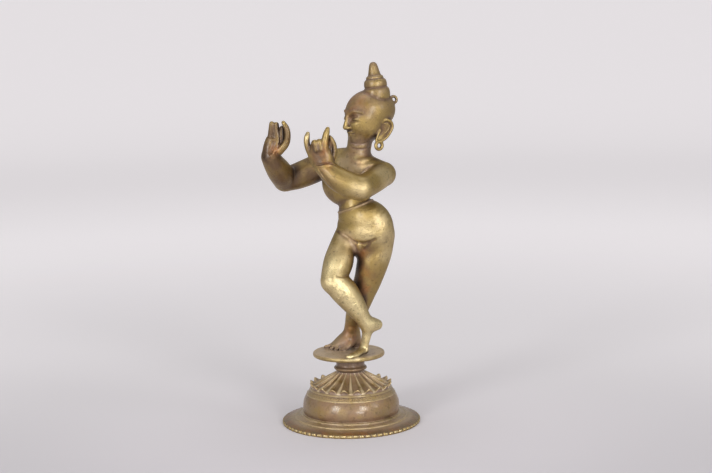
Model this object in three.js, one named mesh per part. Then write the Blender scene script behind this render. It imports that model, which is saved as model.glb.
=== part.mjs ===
// Small standing brass altar figure of a flute player, cross-legged, cast with its round foot disc,
// on a turned bell-shaped pedestal with a lotus top and a notched rim.
// Millimetres, +Z up. Origin: centre of the pedestal's resting plane. The figure's front is -Y and its left is +X.
import * as THREE from 'three';

// ---------- driving sizes ----------
const RIM_RADIUS = 46.55;        // outside of the pedestal's flange
const RIM_THICKNESS = 1.9;       // edge of the flange
const NOTCHES = 70;              // small nicks round the rim
const NOTCH_DEPTH = 0.8;
const DOME_RADIUS = 32.4;        // widest part of the bell
const DOME_FOOT_Z = 6.4;         // where the bell meets the flange
const PETALS = 20;               // lotus petals round the top of the bell
const PETAL_TURN = (200 * Math.PI) / 180;
const LOTUS_TOP = 34.2;          // height of the lotus at the collar, its reach outwards and the lift of its petal lips
const LOTUS_REACH = 17.3;
const LIP = 2.6;
const NECK_RADIUS = 9.4;         // collar between the lotus and the disc
const NECK_RIDGE_RADIUS = 11.0;
const NECK_RIDGE_Z = 36.9;
const NECK_TOP_Z = 44.6;
const WALL = 3.2;                // wall of the hollow bell
const DISC_RADIUS = 24.0;        // round plate under the feet
const DISC_Z = [44.9, 47.9];
const DISC_CENTRE = [-0.95, -0.3];
const CELL = 0.9;                // grid step used to skin the figure
const SKIN_ALLOWANCE = 0.2;      // makes up for what thinning out the skin takes off round forms
const FIGURE_TRIANGLES = 5600;
const PEDESTAL_TRIANGLES = 4000;

// Landmarks of the body, each as x, y, z, girth radius, and how much wider the section is along "side".
const LIMBS = {
  "chest": {
    "side": [[0.99, 0.09, -0.12], [0.99, 0.09, -0.12], [0.99, 0.09, -0.07], [1, 0.09, -0.03], [0.99, 0.09, 0.09], [0.98, 0.09, 0.17]],
    "rows": {
      "upper ribs": [3, 4.5, 170.6, 10, 1.6],
      "breast": [-1.2, 1, 162.8, 10.8, 1.56],
      "lower ribs": [-0.9, 0.6, 158.2, 10.5, 1.47],
      "flank": [3, 2.7, 152.9, 9.1, 1.17],
      "waist": [4, 2.8, 148.6, 9, 1.14],
      "waist cord": [4.6, 3.2, 145.3, 9.3, 1.1]
    }
  },
  "belly": {
    "side": [[0.99, 0.09, 0.14], [1, 0.09, 0.03], [1, 0.09, 0], [1, 0.09, 0.02], [0.99, 0.09, 0.05]],
    "rows": {
      "waist cord": [3.7, 2.6, 143.9, 9.3, 1.1],
      "navel": [5.7, 4, 138.9, 11.6, 1.24],
      "belly": [9.4, 6.6, 133.9, 14.2, 1.335],
      "hips": [9.3, 7.1, 129, 14.6, 1.345],
      "loins": [9, 8.1, 123.2, 13, 1.28]
    }
  },
  "shoulders": {
    "rows": {
      "right shoulder": [-15.8, 3.6, 174.4, 8.3, 1],
      "right collar": [-4.4, 4.8, 174.7, 8.8, 1],
      "breastbone": [5.7, 5.2, 172.7, 9.2, 1],
      "left collar": [15.8, 6.8, 169.7, 8.4, 1],
      "left shoulder": [23.4, 9, 166.9, 7.9, 1]
    }
  },
  "left leg": {
    "rows": {
      "hip": [17, 10.7, 125.4, 10.7, 1],
      "upper thigh": [16.3, 9.6, 116.8, 10.7, 1],
      "mid thigh": [14.2, 8.1, 108.1, 10.5, 1],
      "knee": [10.9, 7, 96.6, 9.2, 1],
      "upper calf": [7.9, 5.5, 88.4, 8.5, 1],
      "calf": [4.5, 5, 79.4, 7.5, 1],
      "lower calf": [0.7, 5.3, 71.5, 6.1, 1],
      "ankle": [-2.9, 6.5, 64.1, 4.6, 1],
      "instep": [-4, 6.9, 59.1, 4.4, 1]
    }
  },
  "right thigh": {
    "rows": {
      "hip": [-1, 0.5, 124.2, 9, 1],
      "upper thigh": [-1.2, -5.7, 116.9, 8.9, 1],
      "mid thigh": [-0.1, -11, 109.7, 9.8, 1],
      "lower thigh": [0.3, -15.6, 103.1, 9, 1],
      "knee": [0.9, -18.3, 98.2, 8.6, 1]
    }
  },
  "right shin": {
    "rows": {
      "knee": [1.1, -17.9, 98.2, 8.5, 1],
      "upper calf": [6.3, -14, 90.9, 9, 1],
      "calf": [11.4, -9, 80.6, 7.1, 1],
      "shin": [14.5, -5, 72.3, 5.1, 1],
      "ankle": [15.9, -2.9, 67.6, 4, 1]
    }
  },
  "right foot": {
    "side": [[0.93, -0.37, 0]],
    "rows": {
      "ankle": [15.9, -2.9, 67.6, 3.9, 1],
      "instep": [15.6, -2.5, 62.1, 2.9, 1.38],
      "ball": [14, -2.5, 55.9, 2.2, 1.75],
      "tread": [12.7, -2.4, 50.8, 2.1, 1.85]
    }
  },
  "right heel": {
    "rows": {
      "ankle": [15.6, -2, 69.1, 4.2, 1],
      "hollow": [17.3, 1.3, 67.5, 4.8, 1],
      "heel": [19, 4.7, 66.9, 3.7, 1]
    }
  },
  "left heel": {
    "rows": {
      "ankle": [-3, 7.7, 62.5, 4.7, 1],
      "back": [-3.1, 10, 55.6, 4.3, 1],
      "heel": [-3.9, 12.5, 49.9, 3.7, 1]
    }
  },
  "left foot inner": {
    "side": [[0.76, -0.65, 0]],
    "rows": {
      "instep": [-4.6, 7.1, 57.7, 4.4, 1.08],
      "arch": [-8, 4.4, 54.6, 3.9, 1.5],
      "ball": [-11.1, 1.4, 51.8, 2.8, 2.2],
      "toes": [-12.9, -0.5, 50.4, 2, 2.4]
    }
  },
  "left foot outer": {
    "side": [[0.99, 0.16, 0]],
    "rows": {
      "instep": [-3.6, 6, 54.2, 3.4, 1.2],
      "ball": [-4.4, 2.4, 51.3, 2.3, 2],
      "small toes": [-5.1, 0.7, 50.1, 1.7, 2.2]
    }
  },
  "right upper arm": {
    "rows": {
      "shoulder": [-15.8, 3.6, 174.4, 8.4, 1],
      "deltoid": [-25.8, -2.2, 169, 9.1, 1],
      "biceps": [-34.7, -8.4, 164.9, 8.7, 1],
      "elbow": [-41, -13.4, 162.9, 7.8, 1]
    }
  },
  "right forearm": {
    "rows": {
      "elbow": [-40.4, -14.2, 162.9, 7.9, 1],
      "forearm": [-37.4, -23.2, 168.9, 8.2, 1],
      "lower forearm": [-35.6, -31.6, 175.3, 7, 1],
      "wrist": [-34.9, -36, 179.9, 6.1, 1]
    }
  },
  "left upper arm": {
    "rows": {
      "shoulder": [23.3, 9, 166.9, 8, 1],
      "biceps": [25.3, -4.2, 164.2, 8, 1],
      "elbow": [25.6, -19.9, 160.7, 8, 1]
    }
  },
  "left forearm": {
    "rows": {
      "elbow": [25.5, -20, 160.3, 8, 1],
      "forearm": [19, -24.5, 163, 8.3, 1],
      "lower forearm": [11.4, -28.6, 167.9, 7.5, 1],
      "wrist": [5.1, -31.2, 174.4, 6.2, 1]
    }
  },
  "neck": {
    "rows": {
      "throat": [7.9, 5.5, 190.5, 8.2, 1],
      "neck": [6.5, 5.2, 182.6, 8, 1],
      "root": [5, 5.3, 175.9, 9, 1]
    }
  },
  "left palm": {
    "side": [[0.94, 0.35, 0]],
    "rows": {
      "wrist": [5.1, -31.2, 174.7, 5.7, 1.08],
      "palm": [3.5, -33, 180.5, 4.6, 1.72],
      "knuckles": [2.5, -34.3, 186, 3.9, 1.8]
    }
  },
  "left little finger": {
    "rows": {
      "root": [-1.7, -35.4, 182.2, 2.5, 1],
      "first joint": [-3.2, -37, 186.1, 2, 1],
      "second joint": [-3.9, -37.5, 190.2, 1.95, 1],
      "last joint": [-3.8, -37.5, 193.4, 1.85, 1],
      "tip": [-3.6, -36.7, 195.9, 1.3, 1]
    }
  },
  "left ring finger": {
    "rows": {
      "root": [0, -35.4, 184.8, 2.2, 1],
      "first joint": [0.9, -36.4, 189, 2.1, 1],
      "second joint": [2.6, -37.6, 190, 1.95, 1],
      "tip": [3.6, -37.6, 185.7, 1.6, 1]
    }
  },
  "left middle finger": {
    "rows": {
      "root": [2.9, -33.4, 184.7, 2.3, 1],
      "first joint": [3.5, -34.5, 189.5, 2.1, 1],
      "second joint": [5.1, -35.9, 190.5, 1.95, 1],
      "tip": [6, -36, 185.9, 1.6, 1]
    }
  },
  "left forefinger": {
    "rows": {
      "root": [6.8, -33.1, 183.5, 2.6, 1],
      "first joint": [7.3, -33.7, 188.3, 2.35, 1],
      "second joint": [7.5, -33.3, 192.5, 2.2, 1],
      "last joint": [7.9, -32.3, 196.1, 2, 1],
      "tip": [8.3, -31.4, 198.8, 1.35, 1]
    }
  },
  "left thumb": {
    "rows": {
      "root": [7.8, -28.1, 178, 2.5, 1],
      "first joint": [8.8, -26.2, 182.7, 2.1, 1],
      "second joint": [8.9, -26.1, 187.5, 1.95, 1],
      "last joint": [8.2, -27.4, 191.4, 1.7, 1],
      "tip": [7.7, -28.8, 193.4, 1.3, 1]
    }
  },
  "left web": {
    "rows": {
      "palm": [6.1, -28.7, 180, 2.6, 1],
      "root": [6.8, -28.2, 185.7, 1.7, 1],
      "tip": [7.2, -28.5, 190.2, 1.35, 1]
    }
  },
  "right palm": {
    "side": [[0.82, 0.57, 0]],
    "rows": {
      "wrist": [-35.1, -36.2, 179.6, 5.1, 1],
      "palm": [-33.5, -36.3, 184.5, 4.2, 1.42],
      "knuckles": [-32.1, -35.3, 190.4, 3.1, 1.85]
    }
  },
  "right outer fingers": {
    "rows": {
      "root": [-34.7, -35.9, 189, 2.4, 1],
      "joint": [-33.5, -36.3, 195.6, 2.15, 1],
      "tip": [-32.5, -36.8, 201.6, 1.7, 1]
    }
  },
  "right inner fingers": {
    "rows": {
      "root": [-31.4, -34.8, 189.7, 2.5, 1],
      "joint": [-30.6, -34.9, 195.6, 2.25, 1],
      "tip": [-29.9, -35.4, 201, 1.75, 1]
    }
  },
  "right forefinger": {
    "rows": {
      "root": [-28.7, -34.8, 183.9, 2.9, 1],
      "first joint": [-24.2, -33.4, 188.5, 2.35, 1],
      "second joint": [-22.4, -33.4, 193.7, 2, 1],
      "last joint": [-22.9, -33.7, 198.6, 1.85, 1],
      "tip": [-24.5, -34.8, 202.4, 1.3, 1]
    }
  },
  "right thumb": {
    "rows": {
      "root": [-29.6, -34.2, 185.1, 2.6, 1],
      "joint": [-28.1, -32.5, 189.3, 2.1, 1],
      "last joint": [-27.6, -32.5, 194.2, 1.9, 1],
      "tip": [-27.2, -33, 199.1, 1.3, 1]
    }
  },
  "left great toe": {
    "rows": {
      "root": [-14.4, 6.8, 50.5, 1.9, 1],
      "joint": [-15.5, 0.2, 49.8, 1.7, 1],
      "tip": [-18.4, -2.8, 49.1, 1.35, 1]
    }
  },
  "left second toe": {
    "rows": {
      "root": [-11.7, 5.7, 50.3, 1.5, 1],
      "joint": [-11.5, -1.3, 49.7, 1.35, 1],
      "tip": [-12.8, -4.4, 48.9, 1.1, 1]
    }
  },
  "left third toe": {
    "rows": {
      "root": [-9.3, 5.4, 50.2, 1.45, 1],
      "joint": [-8, -1.8, 49.6, 1.3, 1],
      "tip": [-8.3, -5.5, 48.9, 1.05, 1]
    }
  },
  "left fourth toe": {
    "rows": {
      "root": [-7.3, 5.6, 50.1, 1.4, 1],
      "joint": [-5.2, -1.1, 49.5, 1.25, 1],
      "tip": [-4.8, -5.1, 48.8, 1, 1]
    }
  },
  "left small toe": {
    "rows": {
      "root": [-6, 6.6, 49.9, 1.35, 1],
      "joint": [-3.2, 0.6, 49.4, 1.2, 1],
      "tip": [-2.4, -3, 48.8, 0.95, 1]
    }
  },
  "right toes": {
    "side": [[0.98, -0.21, 0]],
    "rows": {
      "root": [12.7, -3.2, 50.2, 2.1, 1.9],
      "middle": [14, -12.4, 49.6, 1.65, 2.2],
      "fore": [13.7, -18.9, 49.4, 1.45, 2.1],
      "tips": [12.4, -20.9, 49.1, 1.15, 1.7]
    }
  },
};

// The head, its own frame: forward, left and up from the centre of the skull.
const HEAD_CENTRE = [12.5, 8.7, 206];
const HEAD_FORWARD = [-0.372, -0.92, -0.122];
const HEAD_UP = [-0.046, -0.113, 0.993];
const KNOT_FOOT = [17.8, 11.2, 216.9];   // axis of the turned topknot
const KNOT_TOP = [15.8, 9.8, 240];
const KNOT_PROFILE = [[-3, 7.0], [-0.9, 8.3], [0.3, 8.75], [2.6, 8.9], [5.0, 8.6], [6.3, 7.7], [6.8, 7.2], [7.4, 7.55], [8.9, 7.55], [10.6, 7.3], [11.7, 6.6], [12.2, 5.7], [12.8, 5.8],
  [13.7, 5.5], [14.3, 4.7], [14.8, 4.2], [17.2, 3.6], [19.8, 3.05], [21.8, 2.5], [23.1, 1.7], [23.7, 0.0]];   // place along the axis, radius
const LOOP_CENTRE = [23.8, 21.5, 215.1];     // small loop at the back of the head
const LOOP_AXIS = [0.82, -0.56, 0.1];
const BUTTOCKS = [[[12.8, 16.3, 125.8], [10.8, 10.5, 12.5]], [[-0.7, 11.7, 124.2], [10.5, 10, 12]]];

// ---------- vectors ----------
const add = (a, b, s = 1) => [a[0] + b[0] * s, a[1] + b[1] * s, a[2] + b[2] * s];
const dot = (a, b) => a[0] * b[0] + a[1] * b[1] + a[2] * b[2];
const cross = (a, b) => [a[1] * b[2] - a[2] * b[1], a[2] * b[0] - a[0] * b[2], a[0] * b[1] - a[1] * b[0]];
const unit = (a) => { const l = Math.hypot(...a) || 1; return [a[0] / l, a[1] / l, a[2] / l]; };

// ---------- a sampled distance field ----------
const smin = (a, b, k) => { if (k <= 0) return Math.min(a, b); const h = Math.max(k - Math.abs(a - b), 0) / k; return Math.min(a, b) - h * h * k * 0.25; };
const FAR = 50;
class Field {
  constructor(lo, hi, h, like = null) {
    this.h = h;
    if (like) { this.lo = like.lo; this.n = like.n; } else {
      this.lo = lo.map((v) => Math.floor(v / h) * h);
      this.n = hi.map((v, i) => Math.ceil((v - this.lo[i]) / h) + 1);
    }
    this.d = new Float32Array(this.n[0] * this.n[1] * this.n[2]).fill(FAR);
    this.box = [[1e9, 1e9, 1e9], [-1e9, -1e9, -1e9]];
  }
  group() { return new Field(null, null, this.h, this); }
  grow(lo, hi) { for (let i = 0; i < 3; i++) { this.box[0][i] = Math.min(this.box[0][i], lo[i]); this.box[1][i] = Math.max(this.box[1][i], hi[i]); } }
  span(lo, hi) { return [0, 1, 2].map((i) => [Math.max(0, Math.floor((lo[i] - this.lo[i]) / this.h)), Math.min(this.n[i], Math.ceil((hi[i] - this.lo[i]) / this.h) + 1)]); }
  // joins ('add') or cuts ('cut') one shape, given as a distance function, near its own box
  put(lo, hi, f, k = 0, mode = 'add', pad = k + 3 * this.h) {
    lo = lo.map((v) => v - pad); hi = hi.map((v) => v + pad); this.grow(lo, hi);
    const [sx, sy, sz] = this.span(lo, hi), { n, h, d } = this;
    for (let i = sx[0]; i < sx[1]; i++) for (let j = sy[0]; j < sy[1]; j++) {
      const x = this.lo[0] + i * h, y = this.lo[1] + j * h; let o = (i * n[1] + j) * n[2] + sz[0];
      for (let m = sz[0]; m < sz[1]; m++, o++) {
        const v = f(x, y, this.lo[2] + m * h);
        d[o] = mode === 'add' ? smin(d[o], v, k) : -smin(-d[o], v, k);
      }
    }
  }
  merge(g, k) {
    this.grow(g.box[0], g.box[1]);
    const [sx, sy, sz] = this.span(g.box[0].map((v) => v - k), g.box[1].map((v) => v + k)), { n } = this;
    for (let i = sx[0]; i < sx[1]; i++) for (let j = sy[0]; j < sy[1]; j++) {
      let o = (i * n[1] + j) * n[2] + sz[0];
      for (let m = sz[0]; m < sz[1]; m++, o++) this.d[o] = smin(this.d[o], g.d[o], k);
    }
  }
}
// a tapering length between two landmarks, flattened where its section is wider along w
function length(F, a, b, ra, rb, fa, fb, w, k, mode) {
  const ab = add(b, a, -1), L2 = dot(ab, ab) + 1e-9, R = Math.max(ra, rb) * Math.max(1, fa, fb);
  const f = (x, y, z) => {
    const qx = x - a[0], qy = y - a[1], qz = z - a[2];
    const t = Math.min(1, Math.max(0, (qx * ab[0] + qy * ab[1] + qz * ab[2]) / L2));
    const dx = qx - t * ab[0], dy = qy - t * ab[1], dz = qz - t * ab[2], r = ra + (rb - ra) * t, d2 = dx * dx + dy * dy + dz * dz;
    if (!w) return Math.sqrt(d2) - r;
    const s = fa + (fb - fa) * t, c = dx * w[0] + dy * w[1] + dz * w[2], e = Math.max(d2 - c * c, 0);
    const k0 = Math.sqrt(e + (c / s) ** 2) + 1e-6, k1 = Math.sqrt(e + (c / (s * s)) ** 2) + 1e-6;
    return (k0 - r) * k0 / k1;
  };
  F.put([0, 1, 2].map((i) => Math.min(a[i], b[i]) - R), [0, 1, 2].map((i) => Math.max(a[i], b[i]) + R), f, k, mode);
}
// a smooth line through rows of x, y, z, radius, widening and side direction
function spline(rows, m) {
  if (rows.length < 3) return rows;
  const mix = (a, b, s) => a.map((v, i) => v * (1 + s) - b[i] * s);
  const Q = [mix(rows[0], rows[1], 1), ...rows, mix(rows.at(-1), rows.at(-2), 1)], out = [];
  for (let i = 1; i < Q.length - 2; i++) for (let j = 0; j < m; j++) {
    const t = j / m, [a, b, c, d] = [Q[i - 1], Q[i], Q[i + 1], Q[i + 2]];
    out.push(b.map((_, n) => 0.5 * (2 * b[n] + (c[n] - a[n]) * t + (2 * a[n] - 5 * b[n] + 4 * c[n] - d[n]) * t * t + (3 * b[n] - a[n] - 3 * c[n] + d[n]) * t ** 3)));
  }
  out.push(rows.at(-1));
  return out;
}
function chain(F, rows, k, side = null, m = 5) {
  const s = side && (side.length === 1 ? rows.map(() => side[0]) : side);
  const A = spline(rows.map((r, i) => [...r.slice(0, 4), r[4] ?? 1, ...(s ? s[i] : [0, 0, 0])]), m);
  const G = k > 0 ? F.group() : F;
  for (let i = 0; i + 1 < A.length; i++) {
    const p = A[i], q = A[i + 1], a = p.slice(0, 3), b = q.slice(0, 3);
    let w = null;
    if (s) { const u = unit(add(b, a, -1)), v = add(p.slice(5), q.slice(5)); w = unit(add(v, u, -dot(v, u))); }
    length(G, a, b, Math.max(p[3], 0.05), Math.max(q[3], 0.05), p[4], q[4], w, 0, 'add');
  }
  if (G !== F) F.merge(G, k);
}
const limb = (F, name, k, m = 5) => chain(F, Object.values(LIMBS[name].rows), k, LIMBS[name].side ?? null, m);
function ball(F, c, r, k, axes = null, mode = 'add') {
  const f = (x, y, z) => {
    let p = [x - c[0], y - c[1], z - c[2]];
    if (axes) p = axes.map((e) => dot(e, p));
    const k0 = Math.hypot(p[0] / r[0], p[1] / r[1], p[2] / r[2]) + 1e-6, k1 = Math.hypot(p[0] / r[0] ** 2, p[1] / r[1] ** 2, p[2] / r[2] ** 2) + 1e-6;
    return k0 * (k0 - 1) / k1;
  };
  const m = Math.max(...r);
  F.put(c.map((v) => v - m), c.map((v) => v + m), f, k, mode);
}
function ring(F, c, R, r, axis, k) {
  const n = unit(axis);
  F.put(c.map((v) => v - R - r), c.map((v) => v + R + r), (x, y, z) => {
    const p = [x - c[0], y - c[1], z - c[2]], a = dot(p, n);
    return Math.hypot(Math.sqrt(Math.max(dot(p, p) - a * a, 0)) - R, a) - r;
  }, k);
}
// a turned form: rows are places along the axis and radii
function lathe(F, foot, axis, rows, k) {
  const n = unit(axis), L = rows.length, mid = add(foot, n, (rows[0][0] + rows[L - 1][0]) / 2);
  const reach = 1.1 * Math.max(...rows.map((r) => r[1]), (rows[L - 1][0] - rows[0][0]) / 2);
  F.put(mid.map((v) => v - reach), mid.map((v) => v + reach), (x, y, z) => {
    const p = [x - foot[0], y - foot[1], z - foot[2]], a = dot(p, n), q = Math.sqrt(Math.max(dot(p, p) - a * a, 0));
    let best = 1e9, inside = false;
    for (let i = 0; i + 1 < L; i++) {
      const [t0, r0] = rows[i], [t1, r1] = rows[i + 1], dt = t1 - t0, dr = r1 - r0;
      const s = Math.min(1, Math.max(0, ((a - t0) * dt + (q - r0) * dr) / (dt * dt + dr * dr)));
      best = Math.min(best, Math.hypot(a - t0 - s * dt, q - r0 - s * dr));
      if (a > t0 && a <= t1 && q < r0 + (dr * (a - t0)) / dt) inside = true;
    }
    return inside ? -best : best;
  }, k);
}

// ---------- the figure ----------
function head(F) {
  const f = unit(HEAD_FORWARD), l = unit(cross(HEAD_UP, f)), u = cross(f, l), axes = [f, l, u];
  const at = (x, y, z, ...r) => [...add(add(add(HEAD_CENTRE, f, x), l, y), u, z), ...r];
  const G = F.group();
  ball(G, at(-1.8, 0, 2.2), [17.4, 14.2, 13.9], 0, axes);            // skull
  ball(G, at(4.4, 0, -5.4), [12.6, 11.6, 11.4], 5, axes);            // face
  ball(G, at(1.5, 0, -9.0), [11.5, 10.6, 7.6], 4, axes);             // jaw
  ball(G, at(11.6, 0, -13.0), [3.8, 4.3, 3.0], 4, axes);             // chin
  for (const s of [1, -1]) {
    ball(G, at(17.9, 5.7 * s, -0.2), [3.2, 4.7, 2.7], 2.2, axes, 'cut');   // eye hollows
    ball(G, at(11.9, 5.4 * s, -0.7), [3.1, 3.8, 2.1], 0.6, axes);          // eyes
  }
  chain(G, [at(15.4, 0, 3.6, 1.2), at(16.9, 0, 0.0, 1.3), at(18.1, 0, -3.0, 1.5), at(18.8, 0, -5.3, 1.9)], 1.6);   // nose
  for (const s of [1, -1]) {
    ball(G, at(17.3, 1.9 * s, -5.9), [1.9, 1.35, 1.15], 0.8, axes);
    chain(G, [at(15.6, 1.4 * s, 2.9, 0.8), at(14.5, 5.2 * s, 4.5, 0.75), at(11.2, 9.8 * s, 3.3, 0.5)], 1.1);       // brows
  }
  chain(G, [at(14.5, -3.6, -9.7, 0.5), at(16.5, -1.3, -9.0, 0.9), at(16.7, 0, -9.2, 0.85), at(16.5, 1.3, -9.0, 0.9), at(14.5, 3.6, -9.7, 0.5)], 0.8);   // lips
  chain(G, [at(14.4, -3.0, -10.3, 0.5), at(16.2, 0, -11.0, 1.1), at(14.4, 3.0, -10.3, 0.5)], 0.6);
  F.merge(G, 2);
  // turned topknot, and the loop behind it
  lathe(F, KNOT_FOOT, add(KNOT_TOP, KNOT_FOOT, -1), KNOT_PROFILE, 0.7);
  ring(F, LOOP_CENTRE, 2.15, 0.95, LOOP_AXIS, 0.8);
  // ears: a leaning shell with a rolled rim and a long lobe, and a ring through it
  for (const s of [1, -1]) {
    const E = F.group();
    chain(E, [at(-5.6, 11.4 * s, -6.4, 1.5, 2.4), at(-5.4, 11.0 * s, -9.6, 1.7, 2.6), at(-2.8, 10.4 * s, -13.2, 1.6, 2.3), at(1.2, 10.6 * s, -15.8, 1.4, 1.7)], 0, [add(f, u, 0.35)]);
    chain(E, [at(-2.0, 12.0 * s, -5.2, 0.7), at(-4.4, 12.6 * s, -4.1, 0.9), at(-7.9, 12.9 * s, -5.7, 1.0), at(-9.0, 12.7 * s, -9.2, 1.0), at(-7.0, 12.2 * s, -12.8, 1.0), at(-3.4, 11.8 * s, -15.8, 1.0), at(0.8, 11.4 * s, -17.2, 1.1), at(3.6, 11.2 * s, -16.2, 0.9), at(2.4, 11.4 * s, -13.4, 0.75), at(0.2, 11.8 * s, -10.2, 0.7)], 0.5);
    F.merge(E, 1.2);
    ring(F, at(2.4, 11.6 * s, -19.8), 2.45, 1.15, l, 0.6);
  }
}
function figureField(h) {
  const F = new Field([-75, -52, 43], [45, 45, 243], h);
  const T = F.group();
  limb(T, 'chest', 0); limb(T, 'belly', 2);
  for (const [c, r] of BUTTOCKS) ball(T, c, r, 4);
  limb(T, 'shoulders', 4);
  F.merge(T, 0);
  limb(F, 'left leg', 3);
  const G = F.group();
  limb(G, 'right thigh', 0); limb(G, 'right shin', 1.2);
  F.merge(G, 2);
  for (const [name, k] of [['right foot', 2], ['right toes', 2], ['right heel', 3.5], ['left heel', 2], ['left foot inner', 2.5], ['left foot outer', 2],
    ['left great toe', 0.8], ['left second toe', 0.5], ['left third toe', 0.5], ['left fourth toe', 0.5], ['left small toe', 0.5],
    ['right upper arm', 2.5], ['right forearm', 1], ['left upper arm', 1], ['left forearm', 0.8], ['neck', 3]]) limb(F, name, k);
  head(F);
  for (const [name, k] of [['left palm', 1.5], ['left little finger', 0.9], ['left ring finger', 0.9], ['left middle finger', 0.9], ['left forefinger', 0.8], ['left thumb', 0.5], ['left web', 1],
    ['right palm', 1.5], ['right outer fingers', 0.9], ['right inner fingers', 0.8], ['right forefinger', 0.8], ['right thumb', 0.5]]) limb(F, name, k);
  for (let i = 0; i < F.d.length; i++) F.d[i] -= SKIN_ALLOWANCE;
  // the round plate that the feet are cast on
  const [z0, z1] = DISC_Z, [cx, cy] = DISC_CENTRE, e = 1.2;
  F.put([cx - DISC_RADIUS, cy - DISC_RADIUS, z0], [cx + DISC_RADIUS, cy + DISC_RADIUS, z1], (x, y, z) => {
    const a = Math.hypot(x - cx, y - cy) - (DISC_RADIUS - e), b = Math.abs(z - (z0 + z1) / 2) - ((z1 - z0) / 2 - e);
    return Math.hypot(Math.max(a, 0), Math.max(b, 0)) + Math.min(Math.max(a, b), 0) - e;
  }, 0.8);
  return F;
}

// ---------- skin of a field: each grid cell is cut in six tetrahedra, so the skin is always closed ----------
function skin(F) {
  const { n, d, h } = F, sy = n[2], sx = n[1] * n[2];
  const step = [0, 1, 2, 3, 4, 5, 6, 7].map((c) => (c & 1 ? sx : 0) + (c & 2 ? sy : 0) + (c & 4 ? 1 : 0));
  const tets = [[0, 1, 3, 7], [0, 3, 2, 7], [0, 2, 6, 7], [0, 6, 4, 7], [0, 4, 5, 7], [0, 5, 1, 7]];
  const ids = new Map(), V = [], T = [];
  const where = (o) => { const i = Math.floor(o / sx), j = Math.floor((o - i * sx) / sy), k = o - i * sx - j * sy; return [F.lo[0] + i * h, F.lo[1] + j * h, F.lo[2] + k * h]; };
  const vertex = (a, b) => {
    if (a > b) [a, b] = [b, a];
    const key = a * 8192 + (b - a) % 8192; let id = ids.get(a + ':' + b);
    if (id === undefined) {
      const t = Math.min(0.93, Math.max(0.07, d[a] / (d[a] - d[b]))), p = where(a), q = where(b);
      id = V.length / 3; V.push(p[0] + (q[0] - p[0]) * t, p[1] + (q[1] - p[1]) * t, p[2] + (q[2] - p[2]) * t);
      ids.set(a + ':' + b, id);
    }
    return id;
  };
  for (let i = 0; i + 1 < n[0]; i++) for (let j = 0; j + 1 < n[1]; j++) for (let k = 0; k + 1 < n[2]; k++) {
    const o = i * sx + j * sy + k; let m = 0;
    for (let c = 0; c < 8; c++) if (d[o + step[c]] < 0) m++;
    if (m === 0 || m === 8) continue;
    for (const t of tets) {
      const ins = [], out = [];
      for (const c of t) (d[o + step[c]] < 0 ? ins : out).push(o + step[c]);
      if (!ins.length || !out.length) continue;
      const tri = [];
      if (ins.length === 1) tri.push(out.map((q) => vertex(ins[0], q)));
      else if (out.length === 1) tri.push(ins.map((q) => vertex(q, out[0])));
      else {
        const [a, b] = ins, [c, e] = out, v = [vertex(a, c), vertex(a, e), vertex(b, e), vertex(b, c)];
        tri.push([v[0], v[1], v[2]], [v[0], v[2], v[3]]);
      }
      const mid = (s) => s.map(where).reduce((p, q) => add(p, q, 1 / s.length), [0, 0, 0]), away = add(mid(out), mid(ins), -1);
      for (const [a, b, c] of tri) {
        const p = V.slice(a * 3, a * 3 + 3), u = add(V.slice(b * 3, b * 3 + 3), p, -1), w = add(V.slice(c * 3, c * 3 + 3), p, -1);
        if (dot(cross(u, w), away) > 0) T.push(a, b, c); else T.push(a, c, b);
      }
    }
  }
  return { V: Float64Array.from(V), T: Int32Array.from(T) };
}

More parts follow.
